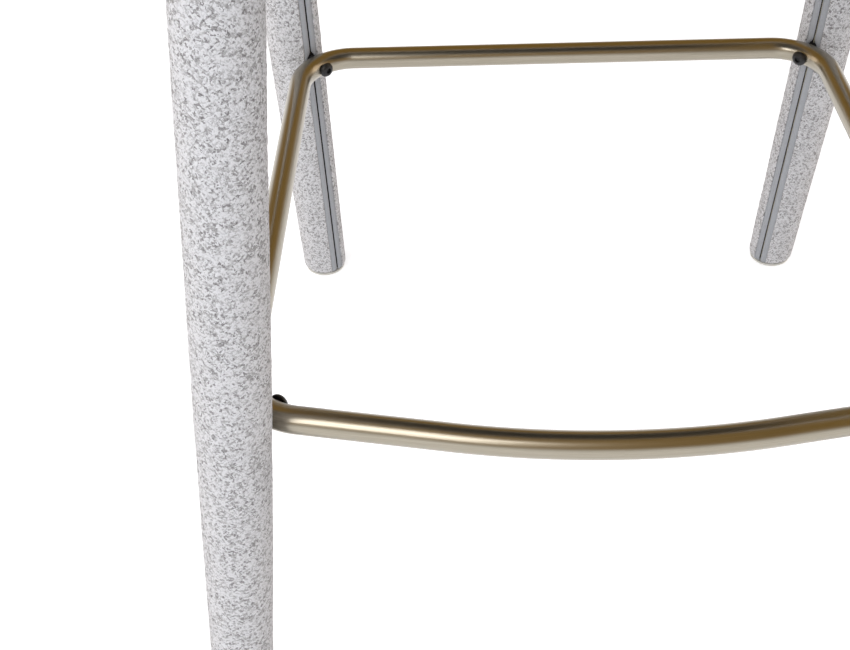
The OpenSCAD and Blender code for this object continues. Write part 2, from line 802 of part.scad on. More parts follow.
module seat_cover() {
    color("lightgray") difference() {
        translate([0, 0, seat_bottom]) linear_extrude(seat_height - seat_bottom) seat_plan(0);
        translate([0, 0, seat_bottom + cover_t])
            linear_extrude(seat_height - seat_bottom - 2 * cover_t) seat_plan(cover_t);
        translate([0, 0, seat_bottom - 1]) linear_extrude(cover_t + 2) seat_plan(flange_w);
        front_tube_cut(0.5);
        side_rail_cut(0.3);
    }
}

// Piping round the seat's top edge, just outside its border
piping_out = 1.6;

module piping_arc(r) {
    rotate_extrude(angle = 90, $fn = 96) translate([r, 0]) circle(piping_r, $fn = 24);
}

module seat_piping() {
    w = seat_w / 2 + piping_out;
    front = seat_front_y - piping_out;
    r = seat_corner_r + piping_out;
    z = seat_height - 7;
    color("gray") difference() {
        translate([0, 0, z]) {
            translate([-w + r - lap, front, 0]) rotate([0, 90, 0])
                cylinder(r = piping_r - slim, h = 2 * (w - r + lap), $fn = 24);
            for (side = [-1, 1]) on_side(side) {
                translate([w - r, front + r, 0]) rotate([0, 0, -90]) piping_arc(r);
                translate([w, front + r - lap, 0]) rotate([-90, 0, 0])
                    cylinder(r = piping_r - slim, h = seat_rear_y - front - r - 14 + lap, $fn = 24);
            }
        }
        translate([0, 0, z - 2 * piping_r]) linear_extrude(4 * piping_r) seat_plan(-0.02);
    }
}

module dust_cover() {
    color("black") difference() {
        translate([0, 0, seat_bottom - dust_t - 0.05]) linear_extrude(dust_t) seat_plan(12);
        front_tube_cut(0.5);
        side_rail_cut(0.3);
    }
}

staple_pitch = 42;
staple_line = 18;

module staple() {
    translate([-staple_l / 2, -staple_r, -staple_r]) cube([staple_l, 2 * staple_r, staple_r]);
}

module dust_cover_staples() {
    z = seat_bottom - dust_t - 0.06;
    w = seat_w / 2 - staple_line;
    front = seat_front_y + staple_line;
    rear = seat_rear_y - staple_line;
    color("silver") translate([0, 0, z]) {
        for (i = [-3 : 3]) for (y = [front, rear])
            translate([i * staple_pitch, y, 0]) staple();
        for (i = [0 : 6]) for (side = [-1, 1])
            translate([side * w, front + seat_corner_r + i * staple_pitch, 0]) rotate([0, 0, 90]) staple();
    }
}

// ---------- back ----------

// From the bend of the rear legs' axes, with +Z up the back
module back_place() {
    translate([0, rear_axis_y, back_bend_z]) rotate([-back_lean, 0, 0]) children();
}

module back_outline(inset) {
    w = back_w / 2 - inset;
    low = back_local_bottom + inset;
    high = back_local_top - inset;
    r = back_corner_r - inset;
    low_r = 14;
    difference() {
        translate([-w, low]) square([2 * w, high - low]);
        for (side = [-1, 1]) {
            translate([side * w, high]) difference() {
                square(2 * r, center = true);
                translate([-side * r, -r]) circle(r);
            }
            translate([side * w, low]) difference() {
                square(2 * low_r, center = true);
                translate([-side * low_r, low_r]) circle(low_r);
            }
        }
    }
}

// The back's slab, made smaller all round by inset, with a level underside
module back_slab(inset) {
    difference() {
        back_place() translate([0, back_half - inset, 0]) rotate([90, 0, 0])
            linear_extrude(back_t - 2 * inset) back_outline(inset);
        translate([-back_w, 0, seat_bottom - back_w + inset]) cube([2 * back_w, back_w, back_w]);
    }
}

back_rail_r = 10;
module back_rail_solid(z, r, half_l) {
    translate([-half_l, 0, z]) rotate([0, 90, 0]) cylinder(r = r, h = 2 * half_l);
}

module back_rail(z) {
    difference() {
        back_place() difference() {
            back_rail_solid(z, back_rail_r, back_w / 2 - 20);
            back_rail_solid(z, back_rail_r - 1.5, back_w / 2);
        }
        post_cut(0.02);
        for (side = [-1, 1]) on_side(side) rear_leg_place() at_post()
            translate([0, -2 * back_t, 0]) cube([4 * back_t, 4 * back_t, post_l]);
    }
}

top_rail_z = (post_top - back_bend_z) / cos(back_lean) - 16;
low_rail_z = 50;

module back_top_rail() {
    color("dimgray") back_rail(top_rail_z);
}

module back_lower_rail() {
    color("dimgray") back_rail(low_rail_z);
}

module back_foam() {
    color("khaki") difference() {
        back_slab(cover_t + 0.1);
        rear_tube_cut(fit_gap);
        back_place() {
            back_rail_solid(top_rail_z, back_rail_r + fit_gap, back_w / 2 - 22);
            back_rail_solid(low_rail_z, back_rail_r + fit_gap, back_w / 2 - 22);
        }
        side_rail_cut(0.3);
    }
}

module back_cover() {
    color("lightgray") difference() {
        back_slab(0);
        back_slab(cover_t);
        rear_tube_cut(0.5);
        side_rail_cut(0.3);
    }
}

// Piping up both sides and over the top, on the front edge of the back
module back_piping() {
    w = back_w / 2 + piping_out;
    top = back_local_top + piping_out;
    r = back_corner_r + piping_out;
    low = back_local_bottom + 16;
    color("gray") difference() {
        back_place() translate([0, -back_half + 7, 0]) rotate([90, 0, 0]) {
            translate([-w + r - lap, top, 0]) rotate([0, 90, 0])
                cylinder(r = piping_r - slim, h = 2 * (w - r + lap), $fn = 24);
            for (side = [-1, 1]) on_side(side) {
                translate([w - r, top - r, 0]) piping_arc(r);
                translate([w, low, 0]) rotate([-90, 0, 0])
                    cylinder(r = piping_r - slim, h = top - r - low + lap, $fn = 24);
            }
        }
        back_slab(-0.02);
    }
}

front_leg_tube(-1);  // front_leg_tube_left
front_leg_tube(1);  // front_leg_tube_right
rear_leg_tube(-1);  // rear_leg_tube_left
rear_leg_tube(1);  // rear_leg_tube_right
front_leg_plug(-1);  // front_leg_plug_left
front_leg_plug(1);  // front_leg_plug_right
rear_leg_plug(-1);  // rear_leg_plug_left
rear_leg_plug(1);  // rear_leg_plug_right
front_glide(-1);  // front_glide_left
front_glide(1);  // front_glide_right
rear_glide(-1);  // rear_glide_left
rear_glide(1);  // rear_glide_right
front_leg_foam(-1);  // front_leg_foam_left
front_leg_foam(1);  // front_leg_foam_right
rear_leg_foam(-1);  // rear_leg_foam_left
rear_leg_foam(1);  // rear_leg_foam_right
front_leg_sleeve(-1);  // front_leg_sleeve_left
front_leg_sleeve(1);  // front_leg_sleeve_right
rear_leg_sleeve(-1);  // rear_leg_sleeve_left
rear_leg_sleeve(1);  // rear_leg_sleeve_right
front_zip_tapes(-1);  // front_zip_tapes_left
front_zip_tapes(1);  // front_zip_tapes_right
rear_zip_tapes(-1);  // rear_zip_tapes_left
rear_zip_tapes(1);  // rear_zip_tapes_right
front_zip_coil(-1);  // front_zip_coil_left
front_zip_coil(1);  // front_zip_coil_right
rear_zip_coil(-1);  // rear_zip_coil_left
rear_zip_coil(1);  // rear_zip_coil_right
front_zip_slider(-1);  // front_zip_slider_left
front_zip_slider(1);  // front_zip_slider_right
rear_zip_slider(-1);  // rear_zip_slider_left
rear_zip_slider(1);  // rear_zip_slider_right
footrest_tube();
footrest_bolts();
footrest_spacers();
footrest_rivet_nuts();
seat_rail_front();
seat_rail_rear();
seat_rail_side(-1);  // seat_rail_left
seat_rail_side(1);  // seat_rail_right
seat_gussets();
seat_board();
seat_tee_nuts();
seat_screws();
seat_foam();
seat_cover();
seat_piping();
dust_cover();
dust_cover_staples();
back_top_rail();
back_lower_rail();
back_foam();
back_cover();
back_piping();
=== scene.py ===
# %% [markdown]
# # A bar stool with padded, zipped legs
# The stool is a steel frame that nobody sees. Foam and a light flecked tweed cover the
# legs, the seat and the back, and a bent bronze tube between the legs is the footrest.
# The hard parts come ready made from the CAD model, so this lesson is about what CAD
# leaves plain: soft fabric, zips, a satin metal tube, and the light they are seen in.
# We load the CAD model first, and read a few sizes from it.

import math

import bpy
import numpy as np
from mathutils import Matrix, Vector, noise


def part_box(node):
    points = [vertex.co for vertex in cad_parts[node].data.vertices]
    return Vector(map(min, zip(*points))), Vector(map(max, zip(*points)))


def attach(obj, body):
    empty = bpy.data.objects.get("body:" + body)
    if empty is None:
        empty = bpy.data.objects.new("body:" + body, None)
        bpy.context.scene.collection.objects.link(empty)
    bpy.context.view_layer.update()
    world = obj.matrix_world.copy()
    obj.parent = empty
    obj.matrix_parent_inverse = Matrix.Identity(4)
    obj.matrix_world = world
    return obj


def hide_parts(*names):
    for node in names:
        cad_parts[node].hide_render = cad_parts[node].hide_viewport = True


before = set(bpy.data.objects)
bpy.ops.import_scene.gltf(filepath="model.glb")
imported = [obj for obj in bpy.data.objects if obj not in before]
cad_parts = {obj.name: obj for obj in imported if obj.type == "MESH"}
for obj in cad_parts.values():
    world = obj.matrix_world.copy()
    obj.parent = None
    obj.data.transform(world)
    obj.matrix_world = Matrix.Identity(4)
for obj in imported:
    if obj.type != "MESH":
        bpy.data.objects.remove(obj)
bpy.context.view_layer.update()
scene = bpy.context.scene
MM = 0.001

# %% [markdown]
# ## The legs as lines
# Every soft piece on a leg follows the leg's own line, so we describe that line once.
# A front leg is straight and leans out. A rear leg leans forwards, bends, and goes on
# upright. For a length up the leg we want a centre, and two directions across it.

# %% Sizes of the legs, in millimetres
FRONT_FOOT = (227.5, -231.0)
REAR_FOOT = (201.5, 231.0)
FRONT_LEAN = (5.0, 3.4)
REAR_LEAN = 0.8
REAR_RAKE = 7.0
REAR_BEND_HEIGHT = 266.0
REAR_BEND_R = 300.0
LEG_R, LEG_R_FOOT = 20.9, 18.6
SLEEVE_TOP = 598.7
rake = math.radians(REAR_RAKE)
rear_low_length = REAR_BEND_HEIGHT / math.cos(rake) - REAR_BEND_R * math.tan(rake / 2)
print("straight lower part of a rear leg:", round(rear_low_length, 1), "mm")


# %% Directions across a leg
def turn(axis, degrees):
    return np.array(Matrix.Rotation(math.radians(degrees), 3, axis))


def front_axes():
    slope_x = -math.tan(math.radians(FRONT_LEAN[0]))
    slope_y = math.tan(math.radians(FRONT_LEAN[1]))
    tilt = math.degrees(math.atan(math.hypot(slope_x, slope_y)))
    heading = math.degrees(math.atan2(slope_y, slope_x))
    return turn("Z", heading) @ turn("Y", tilt) @ turn("Z", -heading)


def leg_place(which, length):
    """Centre, across, across and along of the right-hand leg at a length from the floor."""
    if which == "front":
        axes = front_axes()
        foot = np.array([*FRONT_FOOT, 0.0])
        return foot + axes[:, 2] * length, axes[:, 0], axes[:, 1], axes[:, 2]
    axes = turn("Y", REAR_LEAN) @ turn("X", REAR_RAKE)
    foot = np.array([*REAR_FOOT, 0.0])
    past = max(0.0, length - rear_low_length)
    angle = min(past / REAR_BEND_R, rake)
    rest = past - angle * REAR_BEND_R
    low = min(length, rear_low_length)
    local = np.array([
        0.0,
        REAR_BEND_R * (1 - math.cos(angle)) + rest * math.sin(angle),
        low + REAR_BEND_R * math.sin(angle) + rest * math.cos(angle),
    ])
    axes_here = axes @ turn("X", -math.degrees(angle))
    return foot + axes @ local, axes_here[:, 0], axes_here[:, 1], axes_here[:, 2]


def leg_radius(length):
    share = min(1.0, length / rear_low_length)
    return LEG_R_FOOT + (LEG_R - LEG_R_FOOT) * share


def leg_top_length(which):
    low, high = 500.0, 700.0
    for _ in range(40):
        middle = (low + high) / 2
        if leg_place(which, middle)[0][2] < SLEEVE_TOP:
            low = middle
        else:
            high = middle
    return low


print("sleeve lengths:", [round(leg_top_length(w), 1) for w in ("front", "rear")])

# %% [markdown]
# ## Meshes from plain numbers
# A small helper turns points and faces into an object that sits at the origin with its
# place in its mesh. It can carry a UV map in millimetres, which a weave follows.


# %% Mesh helper
def new_piece(name, points, faces, uv=None, smooth=True):
    mesh = bpy.data.meshes.new(name)
    mesh.from_pydata((np.asarray(points, float) * MM).tolist(), [], faces)
    mesh.update()
    if uv is not None:
        layer = mesh.uv_layers.new(name="UVMap")
        corners = np.zeros(len(mesh.loops), int)
        mesh.loops.foreach_get("vertex_index", corners)
        layer.data.foreach_set("uv", np.asarray(uv, float)[corners].ravel())
    mesh.polygons.foreach_set("use_smooth", [smooth] * len(mesh.polygons))
    piece = bpy.data.objects.new(name, mesh)
    scene.collection.objects.link(piece)
    return piece


def grid_faces(rows, columns, closed):
    """Quads over a grid of points, row by row; closed joins the last column to the first."""
    faces = []
    for i in range(rows - 1):
        for j in range(columns if closed else columns - 1):
            k = (j + 1) % columns
            a, b = i * columns, (i + 1) * columns
            faces.append((a + j, a + k, b + k, b + j))
    return faces


def mirrored(points, faces):
    """The left-hand twin of a right-hand shape, with its faces turned back outwards."""
    flipped = np.array(points, float)
    flipped[:, 0] *= -1
    return flipped, [tuple(reversed(f)) for f in faces]


# %% [markdown]
# ## Shader groups
# Tweed and grain, used for brushed metal too, appear on several pieces, so each is a node group.
# A group here only mixes colours and heights. The shader itself stays in the material,
# where its plain numbers are easy to find.


# %% Node helpers
def add(tree, kind, **settings):
    node = tree.nodes.new(kind)
    for key, value in settings.items():
        setattr(node, key, value)
    return node


def feed(tree, target, source):
    """Links a socket, or sets a plain value."""
    if isinstance(source, bpy.types.NodeSocket):
        tree.links.new(source, target)
    else:
        target.default_value = source


def maths(tree, operation, a, b=None):
    node = add(tree, "ShaderNodeMath", operation=operation)
    feed(tree, node.inputs[0], a)
    if b is not None:
        feed(tree, node.inputs[1], b)
    return node.outputs[0]


def mix_colour(tree, factor, a, b, blend="MIX"):
    node = add(tree, "ShaderNodeMix", data_type="RGBA", blend_type=blend)
    feed(tree, node.inputs["Factor"], factor)
    feed(tree, node.inputs[6], a)
    feed(tree, node.inputs[7], b)
    return node.outputs[2]


def noise_field(tree, vector, scale, detail=2.0, rough=0.5):
    node = add(tree, "ShaderNodeTexNoise", noise_dimensions="3D")
    feed(tree, node.inputs["Vector"], vector)
    node.inputs["Scale"].default_value = scale
    node.inputs["Detail"].default_value = detail
    node.inputs["Roughness"].default_value = rough
    return node


def ramp(tree, value, low, high):
    node = add(tree, "ShaderNodeMapRange", interpolation_type="SMOOTHSTEP")
    feed(tree, node.inputs["Value"], value)
    node.inputs["From Min"].default_value = low
    node.inputs["From Max"].default_value = high
    return node.outputs["Result"]


def new_group(name, inputs, outputs):
    group = bpy.data.node_groups.new(name, "ShaderNodeTree")
    for label, kind, value in inputs:
        socket = group.interface.new_socket(label, in_out="INPUT", socket_type=kind)
        if value is not None:
            socket.default_value = value
    for label, kind in outputs:
        group.interface.new_socket(label, in_out="OUTPUT", socket_type=kind)
    return group, add(group, "NodeGroupInput"), add(group, "NodeGroupOutput")


# %% [markdown]
# ## Tweed
# The cloth is woven from thick, uneven yarn twisted from pale, grey and a few dark
# fibres. Close up it is a field of short soft strokes, each about two millimetres long,
# lying this way and that. We build exactly that from two layers of drawn-out cells, one
# leaning each way, in coordinates shaken by noise so that no edge is straight. A random
# number for each cell picks its shade, and finer streaks stand for the fibres.

# %% Tweed group
tweed_group, tweed_in, tweed_out = new_group(
    "Tweed weave",
    [("Vector", "NodeSocketVector", None), ("Yarn", "NodeSocketVector", (1.5, 1.5, 1.0)),
     ("Pale", "NodeSocketColor", (0.76, 0.755, 0.775, 1)),
     ("Grey", "NodeSocketColor", (0.33, 0.325, 0.335, 1)),
     ("Dark", "NodeSocketColor", (0.12, 0.115, 0.12, 1))],
    [("Color", "NodeSocketColor"), ("Height", "NodeSocketFloat")])


def strokes(tree, vector, degrees, long, short):
    """Cells drawn out in one direction: a random value for each, and how near its middle is."""
    turned = add(tree, "ShaderNodeVectorRotate", rotation_type="Z_AXIS")
    turned.inputs["Angle"].default_value = math.radians(degrees)
    feed(tree, turned.inputs["Vector"], vector)
    stretched = add(tree, "ShaderNodeVectorMath", operation="MULTIPLY")
    feed(tree, stretched.inputs[0], turned.outputs[0])
    stretched.inputs[1].default_value = (1 / long, 1 / short, 0.0)
    cells = add(tree, "ShaderNodeTexVoronoi", voronoi_dimensions="2D")
    cells.inputs["Scale"].default_value = 1.0
    feed(tree, cells.inputs["Vector"], stretched.outputs[0])
    value = add(tree, "ShaderNodeSeparateColor")
    feed(tree, value.inputs[0], cells.outputs["Color"])
    return value.outputs[0], maths(tree, "SUBTRACT", 1.0, cells.outputs["Distance"])


def shaken(tree, vector, scale, amount, detail):
    """The same coordinates, pushed about by noise."""
    sway = noise_field(tree, vector, scale, detail, 0.6)
    centred = add(tree, "ShaderNodeVectorMath", operation="SUBTRACT")
    feed(tree, centred.inputs[0], sway.outputs["Color"])
    centred.inputs[1].default_value = (0.5, 0.5, 0.5)
    pushed = add(tree, "ShaderNodeVectorMath", operation="SCALE")
    feed(tree, pushed.inputs[0], centred.outputs[0])
    pushed.inputs["Scale"].default_value = amount
    moved = add(tree, "ShaderNodeVectorMath", operation="ADD")
    feed(tree, moved.inputs[0], vector)
    feed(tree, moved.inputs[1], pushed.outputs[0])
    return moved.outputs[0]


def build_tweed(tree, group_in, group_out):
    vector = group_in.outputs["Vector"]
    sized = add(tree, "ShaderNodeVectorMath", operation="DIVIDE")
    feed(tree, sized.inputs[0], vector)
    feed(tree, sized.inputs[1], group_in.outputs["Yarn"])
    bent = shaken(tree, shaken(tree, sized.outputs[0], 0.45, 1.0, 1.0), 1.7, 0.7, 3.0)
    up_value, up_crown = strokes(tree, bent, 38.0, 1.6, 0.95)
    across_value, across_crown = strokes(tree, bent, -44.0, 1.6, 0.95)
    which_way = noise_field(tree, sized.outputs[0], 0.8, 1.0, 0.5)
    way = ramp(tree, which_way.outputs["Fac"], 0.47, 0.53)
    value = add(tree, "ShaderNodeMix", data_type="FLOAT")
    feed(tree, value.inputs["Factor"], way)
    feed(tree, value.inputs[2], up_value)
    feed(tree, value.inputs[3], across_value)
    crown = add(tree, "ShaderNodeMix", data_type="FLOAT")
    feed(tree, crown.inputs["Factor"], way)
    feed(tree, crown.inputs[2], up_crown)
    feed(tree, crown.inputs[3], across_crown)
    drift = noise_field(tree, sized.outputs[0], 0.16, 1.0, 0.5)
    fibre = noise_field(tree, bent, 2.6, 4.0, 0.75)
    streak = maths(tree, "ADD", value.outputs[0],
                   maths(tree, "MULTIPLY", maths(tree, "SUBTRACT", fibre.outputs["Fac"], 0.5), 1.3))
    streak = maths(tree, "ADD", streak,
                   maths(tree, "MULTIPLY", maths(tree, "SUBTRACT", drift.outputs["Fac"], 0.5), 0.12))
    greyness = ramp(tree, streak, 0.5, 0.95)
    darkness = ramp(tree, streak, 0.86, 1.2)
    shade = mix_colour(tree, greyness, group_in.outputs["Pale"], group_in.outputs["Grey"])
    shade = mix_colour(tree, darkness, shade, group_in.outputs["Dark"])
    # Painted shade: in the hollows between strokes, the colour is mixed up to halfway towards grey, where the
    # weave's own shadow would fall.
    hollow_painted_shade = maths(tree, "MULTIPLY", maths(tree, "SUBTRACT", 1.0, ramp(tree, crown.outputs[0], 0.25, 0.6)), 0.5)
    shade = mix_colour(tree, hollow_painted_shade, shade, group_in.outputs["Grey"])
    hair = noise_field(tree, sized.outputs[0], 5.0, 3.0, 0.7)
    height = maths(tree, "ADD", crown.outputs[0], maths(tree, "MULTIPLY", hair.outputs["Fac"], 0.4))
    feed(tree, group_out.inputs["Color"], shade)
    feed(tree, group_out.inputs["Height"], height)


build_tweed(tweed_group, tweed_in, tweed_out)
print("tweed group:", len(tweed_group.nodes), "nodes")

# %% [markdown]
# ## Wear on metal and specks on plain surfaces
# A satin tube is never one even colour. Faint lines run along it from polishing, and the
# footrest has a few pale scuffs. One group gives all metals a value that wanders, and the
# same group gives the smooth plastics, foam and board a soft grain.

# %% Grain group
grain_group, grain_in, grain_out = new_group(
    "Surface grain",
    [("Vector", "NodeSocketVector", None), ("Base", "NodeSocketColor", (0.5, 0.5, 0.5, 1)),
     ("Tint", "NodeSocketColor", (0.4, 0.4, 0.4, 1)), ("Amount", "NodeSocketFloat", 0.5),
     ("Rough low", "NodeSocketFloat", 0.4), ("Rough high", "NodeSocketFloat", 0.6)],
    [("Color", "NodeSocketColor"), ("Roughness", "NodeSocketFloat"), ("Height", "NodeSocketFloat")])


def build_grain(tree, group_in, group_out):
    field = noise_field(tree, group_in.outputs["Vector"], 1.0, 5.0, 0.6)
    strength = maths(tree, "MULTIPLY", ramp(tree, field.outputs["Fac"], 0.3, 0.7),
                     group_in.outputs["Amount"])
    shade = mix_colour(tree, strength, group_in.outputs["Base"], group_in.outputs["Tint"])
    spread = maths(tree, "SUBTRACT", group_in.outputs["Rough high"], group_in.outputs["Rough low"])
    rough = maths(tree, "ADD", group_in.outputs["Rough low"],
                  maths(tree, "MULTIPLY", field.outputs["Fac"], spread))
    feed(tree, group_out.inputs["Color"], shade)
    feed(tree, group_out.inputs["Roughness"], rough)
    feed(tree, group_out.inputs["Height"], field.outputs["Fac"])


build_grain(grain_group, grain_in, grain_out)


# %% Materials from the groups
def new_material(name):
    material = bpy.data.materials.new(name)
    material.use_nodes = True
    tree = material.node_tree
    return material, tree, tree.nodes["Principled BSDF"]


def place_group(tree, group, values):
    node = add(tree, "ShaderNodeGroup")
    node.node_tree = group
    for key, value in values.items():
        feed(tree, node.inputs[key], value)
    return node


def bump(tree, shader, height, strength, distance):
    node = add(tree, "ShaderNodeBump")
    node.inputs["Strength"].default_value = strength
    node.inputs["Distance"].default_value = distance
    feed(tree, node.inputs["Height"], height)
    feed(tree, shader.inputs["Normal"], node.outputs["Normal"])


def tweed_material(name, pale, grey, dark, yarn):
    material, tree, shader = new_material(name)
    uv = add(tree, "ShaderNodeUVMap", uv_map="UVMap")
    weave = place_group(tree, tweed_group, {
        "Vector": uv.outputs["UV"], "Yarn": yarn, "Pale": pale, "Grey": grey, "Dark": dark})
    feed(tree, shader.inputs["Base Color"], weave.outputs["Color"])
    shader.inputs["Roughness"].default_value = 0.95
    shader.inputs["Specular IOR Level"].default_value = 0.15
    shader.inputs["Sheen Weight"].default_value = 0.25
    shader.inputs["Sheen Roughness"].default_value = 0.5
    shader.inputs["Sheen Tint"].default_value = (1.0, 0.93, 0.86, 1)
    bump(tree, shader, weave.outputs["Height"], 0.85, 0.0007)
    return material


def grain_material(name, base, tint, amount, scale, rough, metallic=0.0, bumpy=0.0, coat=0.0):
    material, tree, shader = new_material(name)
    place = add(tree, "ShaderNodeTexCoord")
    mapping = add(tree, "ShaderNodeMapping")
    mapping.inputs["Scale"].default_value = scale
    feed(tree, mapping.inputs["Vector"], place.outputs["Object"])
    grain = place_group(tree, grain_group, {
        "Vector": mapping.outputs["Vector"], "Base": (*base, 1), "Tint": (*tint, 1),
        "Amount": amount, "Rough low": rough[0], "Rough high": rough[1]})
    feed(tree, shader.inputs["Base Color"], grain.outputs["Color"])
    feed(tree, shader.inputs["Roughness"], grain.outputs["Roughness"])
    shader.inputs["Metallic"].default_value = metallic
    shader.inputs["Coat Weight"].default_value = coat
    if bumpy:
        bump(tree, shader, grain.outputs["Height"], 0.5, bumpy)
    return material


tweed = tweed_material("Light tweed", (0.8, 0.795, 0.81, 1), (0.34, 0.33, 0.33, 1),
                       (0.1, 0.095, 0.1, 1), (1.3, 1.3, 1.0))
piping_tweed = tweed_material("Piping tweed", (0.42, 0.415, 0.43, 1), (0.25, 0.245, 0.25, 1),
                              (0.1, 0.1, 0.1, 1), (1.2, 1.2, 1.0))
steel = grain_material("Black powder coat", (0.03, 0.03, 0.033), (0.05, 0.05, 0.055),
                       0.5, (900, 900, 900), (0.45, 0.6), 0.0, 0.0001)
plastic = grain_material("Black plastic", (0.018, 0.018, 0.02), (0.03, 0.03, 0.032),
                         0.5, (300, 300, 300), (0.45, 0.6))
nylon = grain_material("Pale nylon", (0.72, 0.7, 0.64), (0.62, 0.6, 0.55),
                       0.4, (120, 120, 120), (0.35, 0.5))
foam = grain_material("Foam", (0.82, 0.77, 0.6), (0.7, 0.64, 0.47), 0.7, (500, 500, 500),
                      (0.9, 1.0), 0.0, 0.0006)
tape = grain_material("Zip tape", (0.42, 0.435, 0.46), (0.34, 0.35, 0.37), 0.6,
                      (700, 700, 1500), (0.75, 0.9), 0.0, 0.0002)
coil = grain_material("Zip coil", (0.012, 0.012, 0.013), (0.02, 0.02, 0.022), 0.3,
                      (300, 300, 300), (0.35, 0.5))
gunmetal = grain_material("Gunmetal", (0.16, 0.16, 0.165), (0.1, 0.1, 0.1), 0.5,
                          (400, 400, 400), (0.3, 0.42), 1.0)
black_oxide = grain_material("Black oxide", (0.022, 0.022, 0.024), (0.05, 0.048, 0.045), 0.5,
                             (350, 350, 350), (0.35, 0.5), 0.6)
zinc = grain_material("Zinc plate", (0.62, 0.62, 0.6), (0.5, 0.5, 0.48), 0.5,
                      (400, 400, 400), (0.3, 0.45), 1.0)
birch = grain_material("Birch ply", (0.62, 0.45, 0.27), (0.5, 0.34, 0.19), 0.7,
                       (14, 160, 1200), (0.6, 0.75))
nonwoven = grain_material("Black non-woven", (0.02, 0.02, 0.021), (0.04, 0.04, 0.042), 0.6,
                          (900, 900, 900), (0.85, 0.95), 0.0, 0.0002)
print("materials:", len(bpy.data.materials))

# %% [markdown]
# ## Satin bronze
# The footrest is a steel tube with a satin bronze finish under clear lacquer. Its polish
# lines run along the tube, so the pattern follows the tube's own UV map: many fine bands
# round it, hardly changing along it. Rare pale scuffs come from a stretched noise that is
# cut off high, so only its peaks show.


# %% Bronze material
def bronze_material():
    material, tree, shader = new_material("Satin bronze")
    uv = add(tree, "ShaderNodeUVMap", uv_map="UVMap")
    lines_map = add(tree, "ShaderNodeMapping")
    lines_map.inputs["Scale"].default_value = (1.6, 0.02, 1.0)
    feed(tree, lines_map.inputs["Vector"], uv.outputs["UV"])
    lines = place_group(tree, grain_group, {
        "Vector": lines_map.outputs["Vector"], "Base": (0.37, 0.335, 0.27, 1),
        "Tint": (0.29, 0.26, 0.2, 1), "Amount": 0.6, "Rough low": 0.24, "Rough high": 0.36})
    scuff_map = add(tree, "ShaderNodeMapping")
    scuff_map.inputs["Scale"].default_value = (0.22, 0.03, 1.0)
    scuff_map.inputs["Location"].default_value = (3.0, 7.0, 0.0)
    feed(tree, scuff_map.inputs["Vector"], uv.outputs["UV"])
    scuffs = noise_field(tree, scuff_map.outputs["Vector"], 1.0, 6.0, 0.7)
    mask = maths(tree, "MULTIPLY", ramp(tree, scuffs.outputs["Fac"], 0.71, 0.78), 0.6)
    shade = mix_colour(tree, mask, lines.outputs["Color"], (0.62, 0.57, 0.46, 1))
    feed(tree, shader.inputs["Base Color"], shade)
    feed(tree, shader.inputs["Roughness"], lines.outputs["Roughness"])
    shader.inputs["Metallic"].default_value = 1.0
    shader.inputs["Coat Weight"].default_value = 0.35
    shader.inputs["Coat Roughness"].default_value = 0.22
    bump(tree, shader, lines.outputs["Height"], 0.12, 0.00005)
    return material


bronze = bronze_material()

# %% [markdown]
# ## Dress the CAD nodes
# Most hard parts have the right shape already. Each keeps its CAD mesh and only gets a
# better material, chosen by what its name says it is.

# %% Materials on CAD nodes
DRESS = [
    ("leg_tube", steel, "frame_steel"), ("rail", steel, "frame_steel"),
    ("gussets", steel, "frame_steel"), ("plug", plastic, "black_plastic"),
    ("glide", nylon, "pale_nylon"), ("foam", foam, "foam"),
    ("slider", gunmetal, "zip_metal"), ("spacers", plastic, "black_plastic"),
    ("rivet_nuts", zinc, "zinc_hardware"), ("tee_nuts", zinc, "zinc_hardware"),
    ("screws", zinc, "zinc_hardware"), ("board", birch, "plywood"),
    ("staples", zinc, "zinc_hardware"), ("dust_cover", nonwoven, "black_nonwoven"),
    ("piping", piping_tweed, "tweed_piping"), ("sleeve", tweed, "tweed"),
    ("cover", tweed, "tweed"), ("tapes", tape, "zip_tape"), ("coil", coil, "zip_coil"),
    ("bolts", black_oxide, "black_hardware"), ("tube", bronze, "bronze_tube"),
]
for name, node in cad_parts.items():
    word, material, slot_name = next(row for row in DRESS if row[0] in name)
    node.data.materials.clear()
    node.data.materials.append(material)


def finish_piece(piece, material, slot_name, *replaced):
    """Material, body and the CAD nodes that a piece stands for; the slot name is not used."""
    piece.data.materials.clear()
    piece.data.materials.append(material)
    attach(piece, "stool")
    if replaced:
        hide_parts(*replaced)
    return piece


print("dressed", len(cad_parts), "nodes")

# %% [markdown]
# ## Where the footrest goes
# The footrest is one closed tube: a bowed front, two straight sides, a straight rear, and
# four bends that each touch a leg. The bend's radius is whatever makes the tube just meet
# the sleeve. The direction from a leg to its bend is also where the bolt and zip sit.

# %% Footrest outline, in millimetres
REST_HEIGHT, REST_R = 235.0, 8.0
front_leg = np.array([FRONT_FOOT[0] - REST_HEIGHT * math.tan(math.radians(5.0)),
                      FRONT_FOOT[1] + REST_HEIGHT * math.tan(math.radians(3.4))])
rear_leg = np.array([REAR_FOOT[0] + REST_HEIGHT * math.tan(math.radians(0.8)),
                     REAR_FOOT[1] - REST_HEIGHT * math.tan(rake)])
FRONT_CORNER = front_leg + np.array([-0.6, 22.7])
REAR_CORNER = rear_leg - np.array([7.6, 11.5])
BOW_POINT = np.array([0.0, FRONT_CORNER[1] - 37.0])
BOW_R = 510.0
FLIP = np.array([-1.0, 1.0])
REACH = LEG_R + REST_R + 0.1


def unit(v):
    return v / np.linalg.norm(v)


